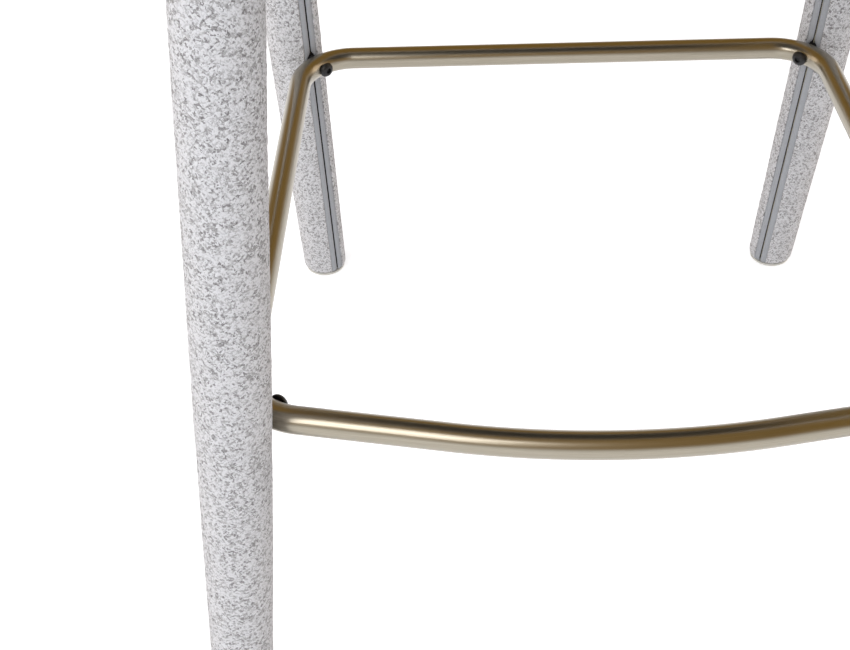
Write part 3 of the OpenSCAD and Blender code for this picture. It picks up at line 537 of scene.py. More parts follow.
def bend_of(a, b, c, leg=None, radius=None):
    """Centre, radius and half angle of the bend at corner b."""
    halving = unit(unit(a - b) + unit(c - b))
    half = math.acos(float(unit(a - b) @ unit(c - b))) / 2
    if radius is None:
        k = 1 / math.sin(half)
        along = -float((leg - b) @ halving)
        across = float((leg - b) @ np.array([-halving[1], halving[0]]))
        qa, qb = k * k - 1, 2 * (k * along - REACH)
        qc = along * along + across * across - REACH * REACH
        radius = (-qb + math.sqrt(qb * qb - 4 * qa * qc)) / (2 * qa)
    return b + halving * radius / math.sin(half), radius, half


front_bend = bend_of(BOW_POINT, FRONT_CORNER, REAR_CORNER, leg=front_leg)
rear_bend = bend_of(FRONT_CORNER, REAR_CORNER, REAR_CORNER * FLIP, leg=rear_leg)
bow_bend = bend_of(FRONT_CORNER * FLIP, BOW_POINT, FRONT_CORNER, radius=BOW_R)
bolt_turn = {
    "front": math.atan2(*(front_bend[0] - front_leg)[::-1]),
    "rear": math.atan2(*(rear_bend[0] - rear_leg)[::-1]),
}
print("bend radii:", round(front_bend[1], 1), round(rear_bend[1], 1), "mm")


# %% Centre line of the tube
def arc(bend, corner_from, corner, corner_to, step):
    """Points round a bend, from the side of one neighbour to the side of the other."""
    centre, radius, half = bend
    run = radius / math.tan(half)
    start = corner + unit(corner_from - corner) * run
    end = corner + unit(corner_to - corner) * run
    a0 = math.atan2(*(start - centre)[::-1])
    a1 = math.atan2(*(end - centre)[::-1])
    sweep = (a1 - a0 + math.pi) % (2 * math.pi) - math.pi
    count = max(4, int(abs(sweep) * radius / step))
    angles = a0 + sweep * np.linspace(0, 1, count + 1)
    return [centre + radius * np.array([math.cos(t), math.sin(t)]) for t in angles]


def footrest_line():
    half = arc(bow_bend, FRONT_CORNER * FLIP, BOW_POINT, FRONT_CORNER, 4.0)
    half = half[len(half) // 2:]
    half += arc(front_bend, BOW_POINT, FRONT_CORNER, REAR_CORNER, 1.5)
    half += arc(rear_bend, FRONT_CORNER, REAR_CORNER, REAR_CORNER * FLIP, 1.5)
    line = half + [p * FLIP for p in reversed(half)]
    filled = []
    for a, b in zip(line, line[1:] + line[:1]):
        pieces = max(1, int(np.linalg.norm(b - a) / 6.0))
        filled += [a + (b - a) * k / pieces for k in range(pieces)
                   if np.linalg.norm(b - a) > 1e-6]
    return np.array(filled)


rest_line = footrest_line()
print("footrest line:", len(rest_line), "points")


# %% Sweep the tube
def build_footrest(segments=48):
    count = len(rest_line)
    ahead = np.roll(rest_line, -1, axis=0) - np.roll(rest_line, 1, axis=0)
    ahead /= np.linalg.norm(ahead, axis=1, keepdims=True)
    side = np.stack([ahead[:, 1], -ahead[:, 0]], axis=1)
    steps = np.linalg.norm(np.roll(rest_line, -1, axis=0) - rest_line, axis=1)
    travel = np.concatenate([[0.0], np.cumsum(steps)])
    points, uv = [], []
    for i in range(count + 1):
        k = i % count
        for j in range(segments + 1):
            angle = 2 * math.pi * j / segments
            out = REST_R * math.cos(angle)
            points.append((rest_line[k][0] + side[k][0] * out, rest_line[k][1] + side[k][1] * out,
                           REST_HEIGHT + REST_R * math.sin(angle)))
            uv.append((REST_R * angle, travel[i]))
    return points, grid_faces(count + 1, segments + 1, False), uv


def weld(piece, distance=0.000002):
    """Joins the doubled edges that a UV map needs while a grid is built."""
    import bmesh
    work = bmesh.new()
    work.from_mesh(piece.data)
    bmesh.ops.remove_doubles(work, verts=work.verts, dist=distance)
    bmesh.ops.recalc_face_normals(work, faces=work.faces)
    work.to_mesh(piece.data)
    work.free()
    piece.data.update()


tube_points, tube_faces, tube_uv = build_footrest()
footrest = new_piece("footrest", tube_points, tube_faces, tube_uv)
weld(footrest)
finish_piece(footrest, bronze, "bronze_tube", "footrest_tube")
print("footrest:", len(footrest.data.polygons), "faces")

# %% [markdown]
# ## Button-head bolts
# Each bend is held to its leg by one black bolt with a domed head and a hexagon socket.
# A dome is a turned shape, so we turn a profile and let its last rings change from a
# circle to a hexagon, which gives the socket without cutting anything.

# %% Bolts
HEAD_R, HEAD_H, SOCKET = 5.6, 3.3, 2.0
HEAD_PROFILE = [(2.94, 0.0), (5.5, 0.0), (5.6, 0.35), (5.35, 1.25), (4.75, 2.1),
                (3.9, 2.75), (3.0, 3.15), (2.6, 3.25)]


def head_lift(radius):
    return radius - REST_R - math.sqrt((radius - REST_R) ** 2 - HEAD_R ** 2) + 0.03


def bolt_rings(length, segments=48):
    rings = [[(0.06, -length)] * segments, [(2.94, -length)] * segments]
    rings += [[(r, z)] * segments for r, z in HEAD_PROFILE]
    hexagon = []
    for j in range(segments):
        angle = (2 * math.pi * j / segments + math.pi / 6) % (math.pi / 3) - math.pi / 6
        hexagon.append(SOCKET / math.cos(angle))
    rings.append([(r + 0.1, HEAD_H - 0.1) for r in hexagon])
    rings.append([(r, HEAD_H - 0.25) for r in hexagon])
    rings.append([(r, 1.3) for r in hexagon])
    rings.append([(0.06, 1.0)] * segments)
    return rings


def build_bolts():
    points, faces = [], []
    for which, leg, bend in (("front", front_leg, front_bend), ("rear", rear_leg, rear_bend)):
        base = REACH + REST_R + head_lift(bend[1])
        out = np.array([math.cos(bolt_turn[which]), math.sin(bolt_turn[which]), 0.0])
        across = np.array([-out[1], out[0], 0.0])
        up = np.array([0.0, 0.0, 1.0])
        centre = np.array([*leg, REST_HEIGHT])
        for side in (1, -1):
            start = len(points)
            rings = bolt_rings(base - 2.0)
            for ring in rings:
                for j, (r, z) in enumerate(ring):
                    a = 2 * math.pi * j / len(ring)
                    p = centre + out * (base + z) + across * r * math.cos(a) + up * r * math.sin(a)
                    points.append((p[0] * side, p[1], p[2]))
            made = grid_faces(len(rings), len(rings[0]), True)
            last = (len(rings) - 1) * len(rings[0])
            made.append(tuple(reversed(range(len(rings[0])))))
            made.append(tuple(last + j for j in range(len(rings[0]))))
            made = [f if side > 0 else tuple(reversed(f)) for f in made]
            faces += [tuple(v + start for v in f) for f in made]
    return points, faces


bolts = new_piece("button_bolts", *build_bolts())
weld(bolts, 0.0000005)
bolts.data.shade_flat()
finish_piece(bolts, black_oxide, "black_hardware", "footrest_bolts")
print("bolts:", len(bolts.data.polygons), "faces")

# %% [markdown]
# ## Sleeves on the legs
# A leg is wrapped in foam and a tweed sleeve that closes with a zip down its inner side.
# The sleeve is modelled as sewn cloth: it starts at one side of the zip with a turned
# edge, goes round the leg, and ends at the other. Under the foot it rolls in towards the
# glide. Slow noise gives the slack of hand-fitted cloth and fine noise a woolly outline.
# A simulation would only blur this shape, because the foam fills the sleeve evenly.

# %% Sizes of sleeve and zip
ZIP_HALF = 6.1
ZIP_GAP = 0.65
CLOTH = 1.2
HEM = 2.9
ROLL = 4.4
ROW_STEP = 1.2
AROUND = 112
INNER = 26


def foot_rows(which):
    """Radius lost, length up the leg and roll angle for each row, from under the foot up."""
    rows = []
    for k in range(8):
        angle = math.radians(90 - 90 * k / 8)
        rows.append((ROLL * (1 - math.cos(angle)), HEM + ROLL * (1 - math.sin(angle)), angle))
    top = leg_top_length(which)
    count = int((top - HEM - ROLL) / ROW_STEP)
    for k in range(count + 1):
        rows.append((0.0, HEM + ROLL + (top - HEM - ROLL) * k / count, 0.0))
    return rows


def level_ends(point, centre):
    """A leaning leg's hem and top are level, so heights across it are evened out there."""
    share = min(1.0, max(0.0, (60.0 - centre[2]) / 55.0, (centre[2] - SLEEVE_TOP + 60.0) / 60.0))
    share = share * share * (3 - 2 * share)
    lifted = np.array(point)
    lifted[2] += (centre[2] - point[2]) * share
    return lifted


def press(length_z, angle):
    """How far the footrest presses a sleeve in, beside the bolt."""
    near = math.exp(-((length_z - REST_HEIGHT) / 13.0) ** 2)
    return near * (0.25 + 0.75 * math.exp(-(angle / 0.62) ** 2))


def cloth_noise(which, side, u, v):
    seed = {"front": 11.0, "rear": 37.0}[which] + (5.0 if side == "left" else 0.0)
    slow = noise.noise(Vector((u / 26.0 + seed, v / 60.0, seed)))
    lumps = noise.noise(Vector((u / 4.2, v / 4.6 + seed, seed)))
    fine = noise.noise(Vector((u / 1.7 + seed, v / 1.7, seed)))
    return 0.32 * slow + 0.2 * lumps + 0.26 * fine


# %% Build the sleeves
def build_sleeve(which, side):
    rows = foot_rows(which)
    zip_at = bolt_turn[which]
    points, uv = [], []
    for lost, length, roll in rows:
        centre, ax, ay, _ = leg_place(which, length)
        radius = leg_radius(length)
        ragged = 0.32 * noise.noise(Vector((length / 1.5, 3.0, 9.0 if which == "rear" else 2.0)))
        edge = (ZIP_HALF - 0.1 + ragged) / radius
        shallow = CLOTH * math.cos(roll)
        outer_angles = np.linspace(edge, 2 * math.pi - edge, AROUND)
        section = []
        for n, angle in enumerate(outer_angles):
            from_edge = min(n, AROUND - 1 - n)
            lip = 0.4 * math.exp(-(from_edge / 1.6) ** 2) - (0.25 if from_edge == 0 else 0.0)
            off = min(angle, 2 * math.pi - angle)
            u = radius * angle
            r = radius - lost - 0.12 + lip - 1.0 * press(centre[2], off)
            r += cloth_noise(which, side, u, length) * (0.35 if from_edge < 2 else 1.0)
            section.append((r, angle, length, u))
        inner_length = HEM + ROLL - (ROLL - CLOTH) * math.sin(roll) if roll else length
        inner_r = radius - ROLL + (ROLL - CLOTH) * math.cos(roll) if roll else radius - CLOTH
        for angle in np.linspace(2 * math.pi - edge - 0.015, edge + 0.015, INNER):
            section.append((inner_r, angle, inner_length, radius * angle))
        for r, angle, at, u in section:
            place = centre if at == length else leg_place(which, at)[0]
            world = zip_at + angle
            p = place + ax * r * math.cos(world) + ay * r * math.sin(world)
            points.append(level_ends(p, place))
            uv.append((u, length + lost))
    columns = AROUND + INNER
    faces = grid_faces(len(rows), columns, True)
    top = (len(rows) - 1) * columns
    for base, flip in ((0, False), (top, True)):
        outer = [base + j for j in range(AROUND)]
        share = (AROUND - 1) / (INNER - 1)
        for j in range(AROUND - 1):
            k0 = int(round(j / share))
            k1 = int(round((j + 1) / share))
            a, b = outer[j], outer[j + 1]
            c, d = base + columns - 1 - k1, base + columns - 1 - k0
            face = (a, b, c) if c == d else (a, b, c, d)
            faces.append(face if flip else tuple(reversed(face)))
    return np.array(points), faces, uv


def two_sided(name, which, build, material, slot_name, node_word):
    """Makes the right and left copies of a piece on a leg."""
    made = []
    for side in ("right", "left"):
        points, faces, uv = build(which, side)
        if side == "left":
            points, faces = mirrored(points, faces)
        piece = new_piece(f"{which}_{name}_{side}", points, faces, uv)
        finish_piece(piece, material, slot_name, f"{which}_{node_word}_{side}")
        made.append(piece)
    return made


for which in ("front", "rear"):
    sleeves = two_sided("sleeve", which, build_sleeve, tweed, "tweed", "leg_sleeve")
    print(which, "sleeve:", sum(len(p.vertices) - 2 for p in sleeves[0].data.polygons), "triangles")

# %% [markdown]
# ## Zip tapes
# Each zip is two rounded lips of smooth grey tape that almost meet over the coil. A lip is
# a flat strip with a soft crown, tucked under the turned edge of the tweed. The lips
# follow the roll under the foot, which is why their ends look slanted there.


# %% Tapes
def tape_section(half):
    """Distance from the zip's line and depth below the cloth, round one lip."""
    shape = []
    for k in range(11):
        share = k / 10
        t = ZIP_GAP + 0.02 + share * (ZIP_HALF + 0.5 - ZIP_GAP)
        crown = 0.74 * math.sin(math.pi * share) ** 0.75
        drop = 0.12 * (1 - share) ** 8 + 0.12 * share ** 6
        shape.append((t, 0.76 - crown + drop))
    shape += [(ZIP_HALF + 0.5, 0.92), (ZIP_HALF / 2, 0.96), (ZIP_GAP + 0.02, 0.96)]
    return [(t * half, depth) for t, depth in (shape if half > 0 else reversed(shape))]


def build_tapes(which, side):
    rows = [r for r in foot_rows(which)[2::2] if r[1] < leg_top_length(which) - 1.5]
    points, faces, uv = [], [], []
    for half in (1, -1):
        section = tape_section(half)
        start = len(points)
        for lost, length, roll in rows:
            centre, ax, ay, _ = leg_place(which, length)
            radius = leg_radius(length)
            pinch = 0.6 * press(centre[2], 0.0)
            spread = 1.0 + 3.2 * math.exp(-((centre[2] - REST_HEIGHT) / 7.5) ** 4)
            for t, depth in section:
                shifted = t + half * (spread - 1.0) * (1 - abs(t) / (ZIP_HALF + 0.6)) * 1.3
                angle = bolt_turn[which] + shifted / radius
                r = radius - lost - depth - pinch - 0.08
                p = centre + ax * r * math.cos(angle) + ay * r * math.sin(angle)
                points.append(level_ends(p, centre))
                uv.append((t, length))
        made = grid_faces(len(rows), len(section), True)
        made.append(tuple(reversed(range(len(section)))))
        last = (len(rows) - 1) * len(section)
        made.append(tuple(last + j for j in range(len(section))))
        faces += [tuple(v + start for v in f) for f in made]
    return np.array(points), faces, uv


for which in ("front", "rear"):
    tapes = two_sided("tapes", which, build_tapes, tape, "zip_tape", "zip_tapes")
    print(which, "tapes:", len(tapes[0].data.polygons), "faces")

# %% [markdown]
# ## The coil, made by Geometry Nodes
# A zip's coil is the same small loop hundreds of times, which is what Geometry Nodes are
# for. Our tree takes a line of points that know which way is along the zip and which way
# is out of the leg. It resamples the line at the coil's pitch, puts a small block at each
# point, turns it, and makes the result real so that it can leave Blender.

# %% A tree that repeats a block along a line
block_tree = bpy.data.node_groups.new("Blocks along a line", "GeometryNodeTree")


def build_block_tree(tree):
    tree.interface.new_socket("Geometry", in_out="INPUT", socket_type="NodeSocketGeometry")
    for label, value in (("Pitch", 0.0016), ("Depth", 0.0019), ("Width", 0.0023), ("Length", 0.001)):
        socket = tree.interface.new_socket(label, in_out="INPUT", socket_type="NodeSocketFloat")
        socket.default_value = value
    tree.interface.new_socket("Material", in_out="INPUT", socket_type="NodeSocketMaterial")
    tree.interface.new_socket("Geometry", in_out="OUTPUT", socket_type="NodeSocketGeometry")
    given, made = add(tree, "NodeGroupInput"), add(tree, "NodeGroupOutput")
    curve = add(tree, "GeometryNodeMeshToCurve")
    feed(tree, curve.inputs["Mesh"], given.outputs["Geometry"])
    even = add(tree, "GeometryNodeResampleCurve", mode="LENGTH")
    feed(tree, even.inputs["Curve"], curve.outputs["Curve"])
    feed(tree, even.inputs["Length"], given.outputs["Pitch"])
    size = add(tree, "ShaderNodeCombineXYZ")
    feed(tree, size.inputs["X"], given.outputs["Depth"])
    feed(tree, size.inputs["Y"], given.outputs["Width"])
    feed(tree, size.inputs["Z"], given.outputs["Length"])
    block = add(tree, "GeometryNodeMeshCube")
    feed(tree, block.inputs["Size"], size.outputs[0])
    rotation = None
    for name, axis, pivot in (("along", "Z", "AUTO"), ("out", "X", "Z")):
        field = add(tree, "GeometryNodeInputNamedAttribute", data_type="FLOAT_VECTOR")
        field.inputs["Name"].default_value = name
        align = add(tree, "FunctionNodeAlignRotationToVector", axis=axis, pivot_axis=pivot)
        feed(tree, align.inputs["Vector"], field.outputs["Attribute"])
        if rotation is not None:
            feed(tree, align.inputs["Rotation"], rotation)
        rotation = align.outputs["Rotation"]
    copies = add(tree, "GeometryNodeInstanceOnPoints")
    feed(tree, copies.inputs["Points"], even.outputs["Curve"])
    feed(tree, copies.inputs["Instance"], block.outputs["Mesh"])
    feed(tree, copies.inputs["Rotation"], rotation)
    real = add(tree, "GeometryNodeRealizeInstances")
    feed(tree, real.inputs["Geometry"], copies.outputs["Instances"])
    paint = add(tree, "GeometryNodeSetMaterial")
    feed(tree, paint.inputs["Geometry"], real.outputs["Geometry"])
    feed(tree, paint.inputs["Material"], given.outputs["Material"])
    feed(tree, made.inputs["Geometry"], paint.outputs["Geometry"])


build_block_tree(block_tree)
print("block tree:", len(block_tree.nodes), "nodes")


# %% Lines that carry directions
def blocks_along(name, lines, values, material):
    """Each line is a list of (point, along, out) in millimetres; the result is one plain mesh."""
    points, edges, along, out = [], [], [], []
    for line in lines:
        start = len(points)
        for p, a, o in line:
            points.append(np.asarray(p) * MM)
            along.append(a)
            out.append(o)
        edges += [(start + k, start + k + 1) for k in range(len(line) - 1)]
    mesh = bpy.data.meshes.new(name + "_line")
    mesh.from_pydata([tuple(p) for p in points], edges, [])
    for label, rows in (("along", along), ("out", out)):
        attribute = mesh.attributes.new(label, "FLOAT_VECTOR", "POINT")
        attribute.data.foreach_set("vector", np.asarray(rows, np.float32).ravel())
    carrier = bpy.data.objects.new(name + "_line", mesh)
    scene.collection.objects.link(carrier)
    modifier = carrier.modifiers.new("Blocks", "NODES")
    modifier.node_group = block_tree
    sockets = {s.name: s.identifier for s in block_tree.interface.items_tree
               if s.item_type == "SOCKET" and s.in_out == "INPUT"}
    for label, value in values.items():
        modifier[sockets[label]] = value
    modifier[sockets["Material"]] = material
    graph = bpy.context.evaluated_depsgraph_get()
    plain = bpy.data.meshes.new_from_object(carrier.evaluated_get(graph))
    plain.name = name
    carrier.modifiers.remove(modifier)
    bpy.data.objects.remove(carrier)
    piece = bpy.data.objects.new(name, plain)
    scene.collection.objects.link(piece)
    return piece


def coil_lines(which, side):
    sign = 1 if side == "right" else -1
    mirror = np.array([sign, 1.0, 1.0])
    lines = []
    for half in (1, -1):
        run, row = [], []
        for length in np.arange(8.5, leg_top_length(which) - 4.0, 4.0):
            centre, ax, ay, az = leg_place(which, length)
            out = ax * math.cos(bolt_turn[which]) + ay * math.sin(bolt_turn[which])
            across = -ax * math.sin(bolt_turn[which]) + ay * math.cos(bolt_turn[which])
            p = centre + out * (leg_radius(length) - 2.05) + across * half * 1.85
            if abs(centre[2] - REST_HEIGHT) < 7.0:
                if row:
                    run.append(row)
                row = []
                continue
            row.append((p * mirror, az * mirror, out * mirror))
        lines += run + [row]
    return lines


for which in ("front", "rear"):
    for side in ("right", "left"):
        teeth = blocks_along(f"{which}_coil_{side}", coil_lines(which, side),
                             {"Pitch": 0.0016, "Depth": 0.0017, "Width": 0.0023, "Length": 0.001}, coil)
        finish_piece(teeth, coil, "zip_coil", f"{which}_zip_coil_{side}")
    print(which, "coil:", len(teeth.data.polygons) // 6, "elements on each zip")

# %% [markdown]
# ## Cushions by cloth simulation
# The seat and the back are foam under a tight cover with piped edges. The edges are sewn,
# so they stay where they are, while the panels between them swell. We make a slightly slack
# closed shape, pin its seams, and let Blender's Cloth blow it up for twenty frames.

# %% Cushion sizes, in millimetres
seat_low, seat_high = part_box("seat_cover")
SEAT_HALF_W, SEAT_FRONT, SEAT_REAR = seat_high[0] / MM, seat_low[1] / MM, seat_high[1] / MM
SEAT_CORNER, SEAT_SEAM = 70.0, 673.0
print("seat cover box:", [round(x / MM, 1) for x in (*seat_low, *seat_high)])


def rounded_outline(half_w, low, high, r_low, r_high, count=9):
    """Corner-rounded rectangle, anticlockwise from the middle of its low edge."""
    corners = [((half_w - r_low, low + r_low), r_low, -90), ((half_w - r_high, high - r_high), r_high, 0),
               ((-half_w + r_high, high - r_high), r_high, 90), ((-half_w + r_low, low + r_low), r_low, 180)]
    points = []
    for (cx, cy), r, start in corners:
        for k in range(count):
            a = math.radians(start + 90 * k / (count - 1))
            points.append((cx + r * math.cos(a), cy + r * math.sin(a)))
    return points


def loft(name, rings):
    """Closed shape through rings of equal length, with both ends filled."""
    count = len(rings[0])
    points = [p for ring in rings for p in ring]
    faces = grid_faces(len(rings), count, True)
    faces.append(tuple(reversed(range(count))))
    faces.append(tuple((len(rings) - 1) * count + j for j in range(count)))
    return new_piece(name, points, faces)


def remesh(piece, voxel):
    modifier = piece.modifiers.new("Remesh", "REMESH")
    modifier.mode = "VOXEL"
    modifier.voxel_size = voxel * MM
    apply_modifiers(piece)


def apply_modifiers(piece):
    graph = bpy.context.evaluated_depsgraph_get()
    mesh = bpy.data.meshes.new_from_object(piece.evaluated_get(graph))
    piece.modifiers.clear()
    piece.data = mesh


def coordinates(mesh):
    co = np.zeros(len(mesh.vertices) * 3)
    mesh.vertices.foreach_get("co", co)
    return co.reshape(-1, 3) / MM


def inflate(piece, pinned, cap, pressure=4.0, frames=20):
    """Cloth with inner pressure; pinned is a yes or no for each point, cap a limit in mm."""
    start = coordinates(piece.data)
    group = piece.vertex_groups.new(name="pins")
    group.add([int(i) for i in np.nonzero(pinned)[0]], 1.0, "REPLACE")
    cloth = piece.modifiers.new("Cloth", "CLOTH")
    cloth.settings.quality = 6
    cloth.settings.mass = 0.3
    cloth.settings.tension_stiffness = 18
    cloth.settings.compression_stiffness = 18
    cloth.settings.shear_stiffness = 8
    cloth.settings.bending_stiffness = 2.0
    cloth.settings.use_pressure = True
    cloth.settings.uniform_pressure_force = pressure
    cloth.settings.vertex_group_mass = "pins"
    cloth.settings.effector_weights.gravity = 0.0
    cloth.point_cache.frame_start = 1
    cloth.point_cache.frame_end = frames
    for k in range(1, frames + 1):
        scene.frame_set(k)
    graph = bpy.context.evaluated_depsgraph_get()
    mesh = bpy.data.meshes.new_from_object(piece.evaluated_get(graph))
    moved = coordinates(mesh) - start
    length = np.linalg.norm(moved, axis=1, keepdims=True)
    limited = start + moved * np.minimum(1.0, cap / np.maximum(length, 1e-9))
    piece.modifiers.clear()
    piece.vertex_groups.clear()
    mesh.vertices.foreach_set("co", (limited * MM).ravel())
    mesh.update()
    piece.data = mesh
    scene.frame_set(1)
    return float(length.max())


# %% The seat before it swells
def seat_ring(inset, z):
    outline = rounded_outline(SEAT_HALF_W - inset, SEAT_FRONT + inset, SEAT_REAR - inset,
                              max(SEAT_CORNER - inset, 5.0), max(14.0 - inset, 3.0))
    return [(x, y, z) for x, y in outline]


def depth_inside(across, up, half_w, low, high, corner):
    """Distance inside an outline whose upper corners are round."""
    square = np.minimum(np.minimum(half_w - np.abs(across), high - up), up - low)
    past_x = np.abs(across) - half_w + corner
    past_z = up - high + corner
    round_part = corner - np.hypot(np.maximum(past_x, 0), np.maximum(past_z, 0))
    return np.where((past_x > 0) & (past_z > 0), round_part, square)


SEAT_RINGS = [(16, 600.2), (4, 600.4), (0.2, 603.5), (0.6, 612), (2.4, 630), (2.2, 650),
              (0.2, 664), (-0.8, 670), (-0.8, 676), (3, 677.5), (14, 678.5), (50, 680)]
seat = loft("seat_cushion", [seat_ring(inset, z) for inset, z in SEAT_RINGS])
remesh(seat, 5.0)
seat_points = coordinates(seat.data)
seat_rim = depth_inside(seat_points[:, 0], -seat_points[:, 1], SEAT_HALF_W, -SEAT_REAR, -SEAT_FRONT,
                        SEAT_CORNER)
seat_pins = (seat_points[:, 2] < 608) | ((seat_points[:, 2] > 664) & (seat_rim < 5.0))
print("seat:", len(seat_points), "points,", int(seat_pins.sum()), "pinned")

# %% The back before it swells
BACK_LEAN, BACK_CORNER, BACK_HALF_T = 5.0, 60.0, 23.0
BACK_HALF_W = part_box("back_cover")[1][0] / MM
rear_axis_y = REAR_FOOT[1] - REAR_BEND_HEIGHT * math.tan(rake)
BACK_ORIGIN = np.array([0.0, rear_axis_y, 650.5])
lean = math.radians(BACK_LEAN)
back_high = (955.0 - 650.5 - BACK_HALF_T * math.sin(lean)) / math.cos(lean)
back_low = (600.5 - 650.5) / math.cos(lean) - BACK_HALF_T * math.tan(lean) - 1.0
back_axes = turn("X", -BACK_LEAN)


def back_ring(inset, depth):
    outline = rounded_outline(BACK_HALF_W - inset, back_low + inset, back_high - inset,
                              max(14.0 - inset, 3.0), max(BACK_CORNER - inset, 5.0))
    ring = []
    for x, z in outline:
        p = BACK_ORIGIN + back_axes @ np.array([x, depth, z])
        ring.append((p[0], p[1], max(p[2], 599.2)))
    return ring


BACK_RINGS = [(60, -20), (16, -20), (4, -19.5), (-0.8, -18.5), (-0.8, -13.5), (0.6, -8), (1.0, 0),
              (0.6, 8), (-0.4, 14), (-0.2, 18.5), (4, 20), (16, 20.5), (60, 20.5)]
back = loft("back_cushion", [back_ring(inset, depth) for inset, depth in BACK_RINGS])
back.data.flip_normals()
remesh(back, 5.0)
back_points = coordinates(back.data)
back_local = (back_points - BACK_ORIGIN) @ back_axes
back_rim = depth_inside(back_local[:, 0], back_local[:, 2], BACK_HALF_W, back_low - 9.0, back_high,
                        BACK_CORNER)
back_pins = (back_points[:, 2] < 606) | (back_rim < 5.0)
print("back:", len(back_points), "points,", int(back_pins.sum()), "pinned")

# %% Swell both
print("seat moved up to", round(inflate(seat, seat_pins, 9.0), 1), "mm")
print("back moved up to", round(inflate(back, back_pins, 7.0), 1), "mm")


# %% Smooth, and lay the weave on
def box_uv(piece):
    """UV in millimetres, taken straight off each face's main direction."""
    mesh = piece.data
    layer = mesh.uv_layers.get("UVMap") or mesh.uv_layers.new(name="UVMap")
    co = coordinates(mesh)
    loops = np.zeros(len(mesh.loops), int)
    mesh.loops.foreach_get("vertex_index", loops)
    normals = np.zeros(len(mesh.polygons) * 3)
    mesh.polygons.foreach_get("normal", normals)
    totals = np.zeros(len(mesh.polygons), int)
    mesh.polygons.foreach_get("loop_total", totals)
    main = np.repeat(np.argmax(np.abs(normals.reshape(-1, 3)) * [1.0, 1.0, 1.15], axis=1), totals)
    first = np.choose(main, [1, 0, 0])
    second = np.choose(main, [2, 2, 1])
    corner = co[loops]
    rows = np.arange(len(loops))
    uv = np.stack([corner[rows, first] + 71.0 * main, corner[rows, second]], axis=1) + 900.0
    layer.data.foreach_set("uv", uv.ravel())


def smooth_cushion(piece):
    smooth = piece.modifiers.new("Smooth", "SMOOTH")
    smooth.factor = 0.5
    smooth.iterations = 2
    finer = piece.modifiers.new("Subdivision", "SUBSURF")
    finer.levels = 1
    finer.render_levels = 1
    apply_modifiers(piece)
    piece.data.polygons.foreach_set("use_smooth", [True] * len(piece.data.polygons))
    box_uv(piece)


def core_of(cushion, name, depth, lowest):
    """The foam inside a cushion: the same shape, a little smaller."""
    core = cushion.copy()
    core.data = cushion.data.copy()
    core.name = name
    scene.collection.objects.link(core)
    co = coordinates(core.data)
    normals = np.zeros(len(core.data.vertices) * 3)
    core.data.vertices.foreach_get("normal", normals)
    co -= normals.reshape(-1, 3) * depth
    co[:, 2] = np.maximum(co[:, 2], lowest)
    core.data.vertices.foreach_set("co", (co * MM).ravel())
    core.data.update()
    return core


for cushion in (seat, back):
    smooth_cushion(cushion)
seat_core = core_of(seat, "seat_foam_core", 1.7, 637.8)
back_core = core_of(back, "back_foam_core", 1.7, 602.6)
finish_piece(seat, tweed, "tweed", "seat_cover")
finish_piece(back, tweed, "tweed", "back_cover")
finish_piece(seat_core, foam, "foam", "seat_foam")
finish_piece(back_core, foam, "foam", "back_foam")
print("cushions:", len(seat.data.polygons), len(back.data.polygons), "faces")

# %% [markdown]
# ## Piping
# A cord wrapped in the tweed runs round the seat's top edge and the front edge of the back.
# It is a round sweep along the sewn line, with a UV map so that the weave follows it.


# %% Piping
def sweep(name, path, radius, segments=12):
    path = np.asarray(path, float)
    ahead = np.gradient(path, axis=0)
    ahead /= np.linalg.norm(ahead, axis=1, keepdims=True)
    travel = np.concatenate([[0.0], np.cumsum(np.linalg.norm(np.diff(path, axis=0), axis=1))])
    keep = np.array([0.0, 0.0, 1.0]) if abs(ahead[0][2]) < 0.9 else np.array([0.0, 1.0, 0.0])
    points, uv = [], []
    for p, d, t in zip(path, ahead, travel):
        side = np.cross(d, keep)
        side = unit(side) if np.linalg.norm(side) > 1e-6 else np.array([1.0, 0, 0])
        keep = unit(np.cross(side, d))
        for j in range(segments):
            a = 2 * math.pi * j / segments
            points.append(p + radius * (side * math.cos(a) + keep * math.sin(a)))
            uv.append((radius * a, t))
    faces = grid_faces(len(path), segments, True)
    faces.append(tuple(reversed(range(segments))))
    faces.append(tuple((len(path) - 1) * segments + j for j in range(segments)))
    piece = new_piece(name, points, faces, uv)
    weld(piece, 1e-7)
    return piece


def dense(path, step=3.0):
    path = [np.asarray(p, float) for p in path]
    filled = []
    for a, b in zip(path, path[1:]):
        count = max(1, int(np.linalg.norm(b - a) / step))
        filled += [a + (b - a) * k / count for k in range(count)]
    return np.array(filled + [path[-1]])


def open_outline(half_w, low, high, radius):
    """Up one side, round two corners and down the other, starting at the low end."""
    points = [(half_w, low)]
    for cx, start in ((half_w - radius, 0), (-half_w + radius, 90)):
        for k in range(25):
            a = math.radians(start + 90 * k / 24)
            points.append((cx + radius * math.cos(a), high - radius + radius * math.sin(a)))
    points.append((-half_w, low))
    return points


PIPING_R, PIPING_OUT = 2.5, 0.6
seat_edge = [(x, -y, SEAT_SEAM) for x, y in open_outline(
    SEAT_HALF_W + PIPING_OUT, -SEAT_REAR + 14.0, -SEAT_FRONT + PIPING_OUT, SEAT_CORNER + PIPING_OUT)]
back_edge = [BACK_ORIGIN + back_axes @ np.array([x, -BACK_HALF_T + 7.0, z]) for x, z in open_outline(
    BACK_HALF_W + PIPING_OUT, back_low + 16.0, back_high + PIPING_OUT, BACK_CORNER + PIPING_OUT)]
seat_piping = sweep("seat_piping_cord", dense(seat_edge), PIPING_R)
back_piping = sweep("back_piping_cord", dense(back_edge), PIPING_R)
finish_piece(seat_piping, tweed, "tweed_piping", "seat_piping")
finish_piece(back_piping, tweed, "tweed_piping", "back_piping")
print("piping:", len(seat_piping.data.polygons), len(back_piping.data.polygons), "faces")

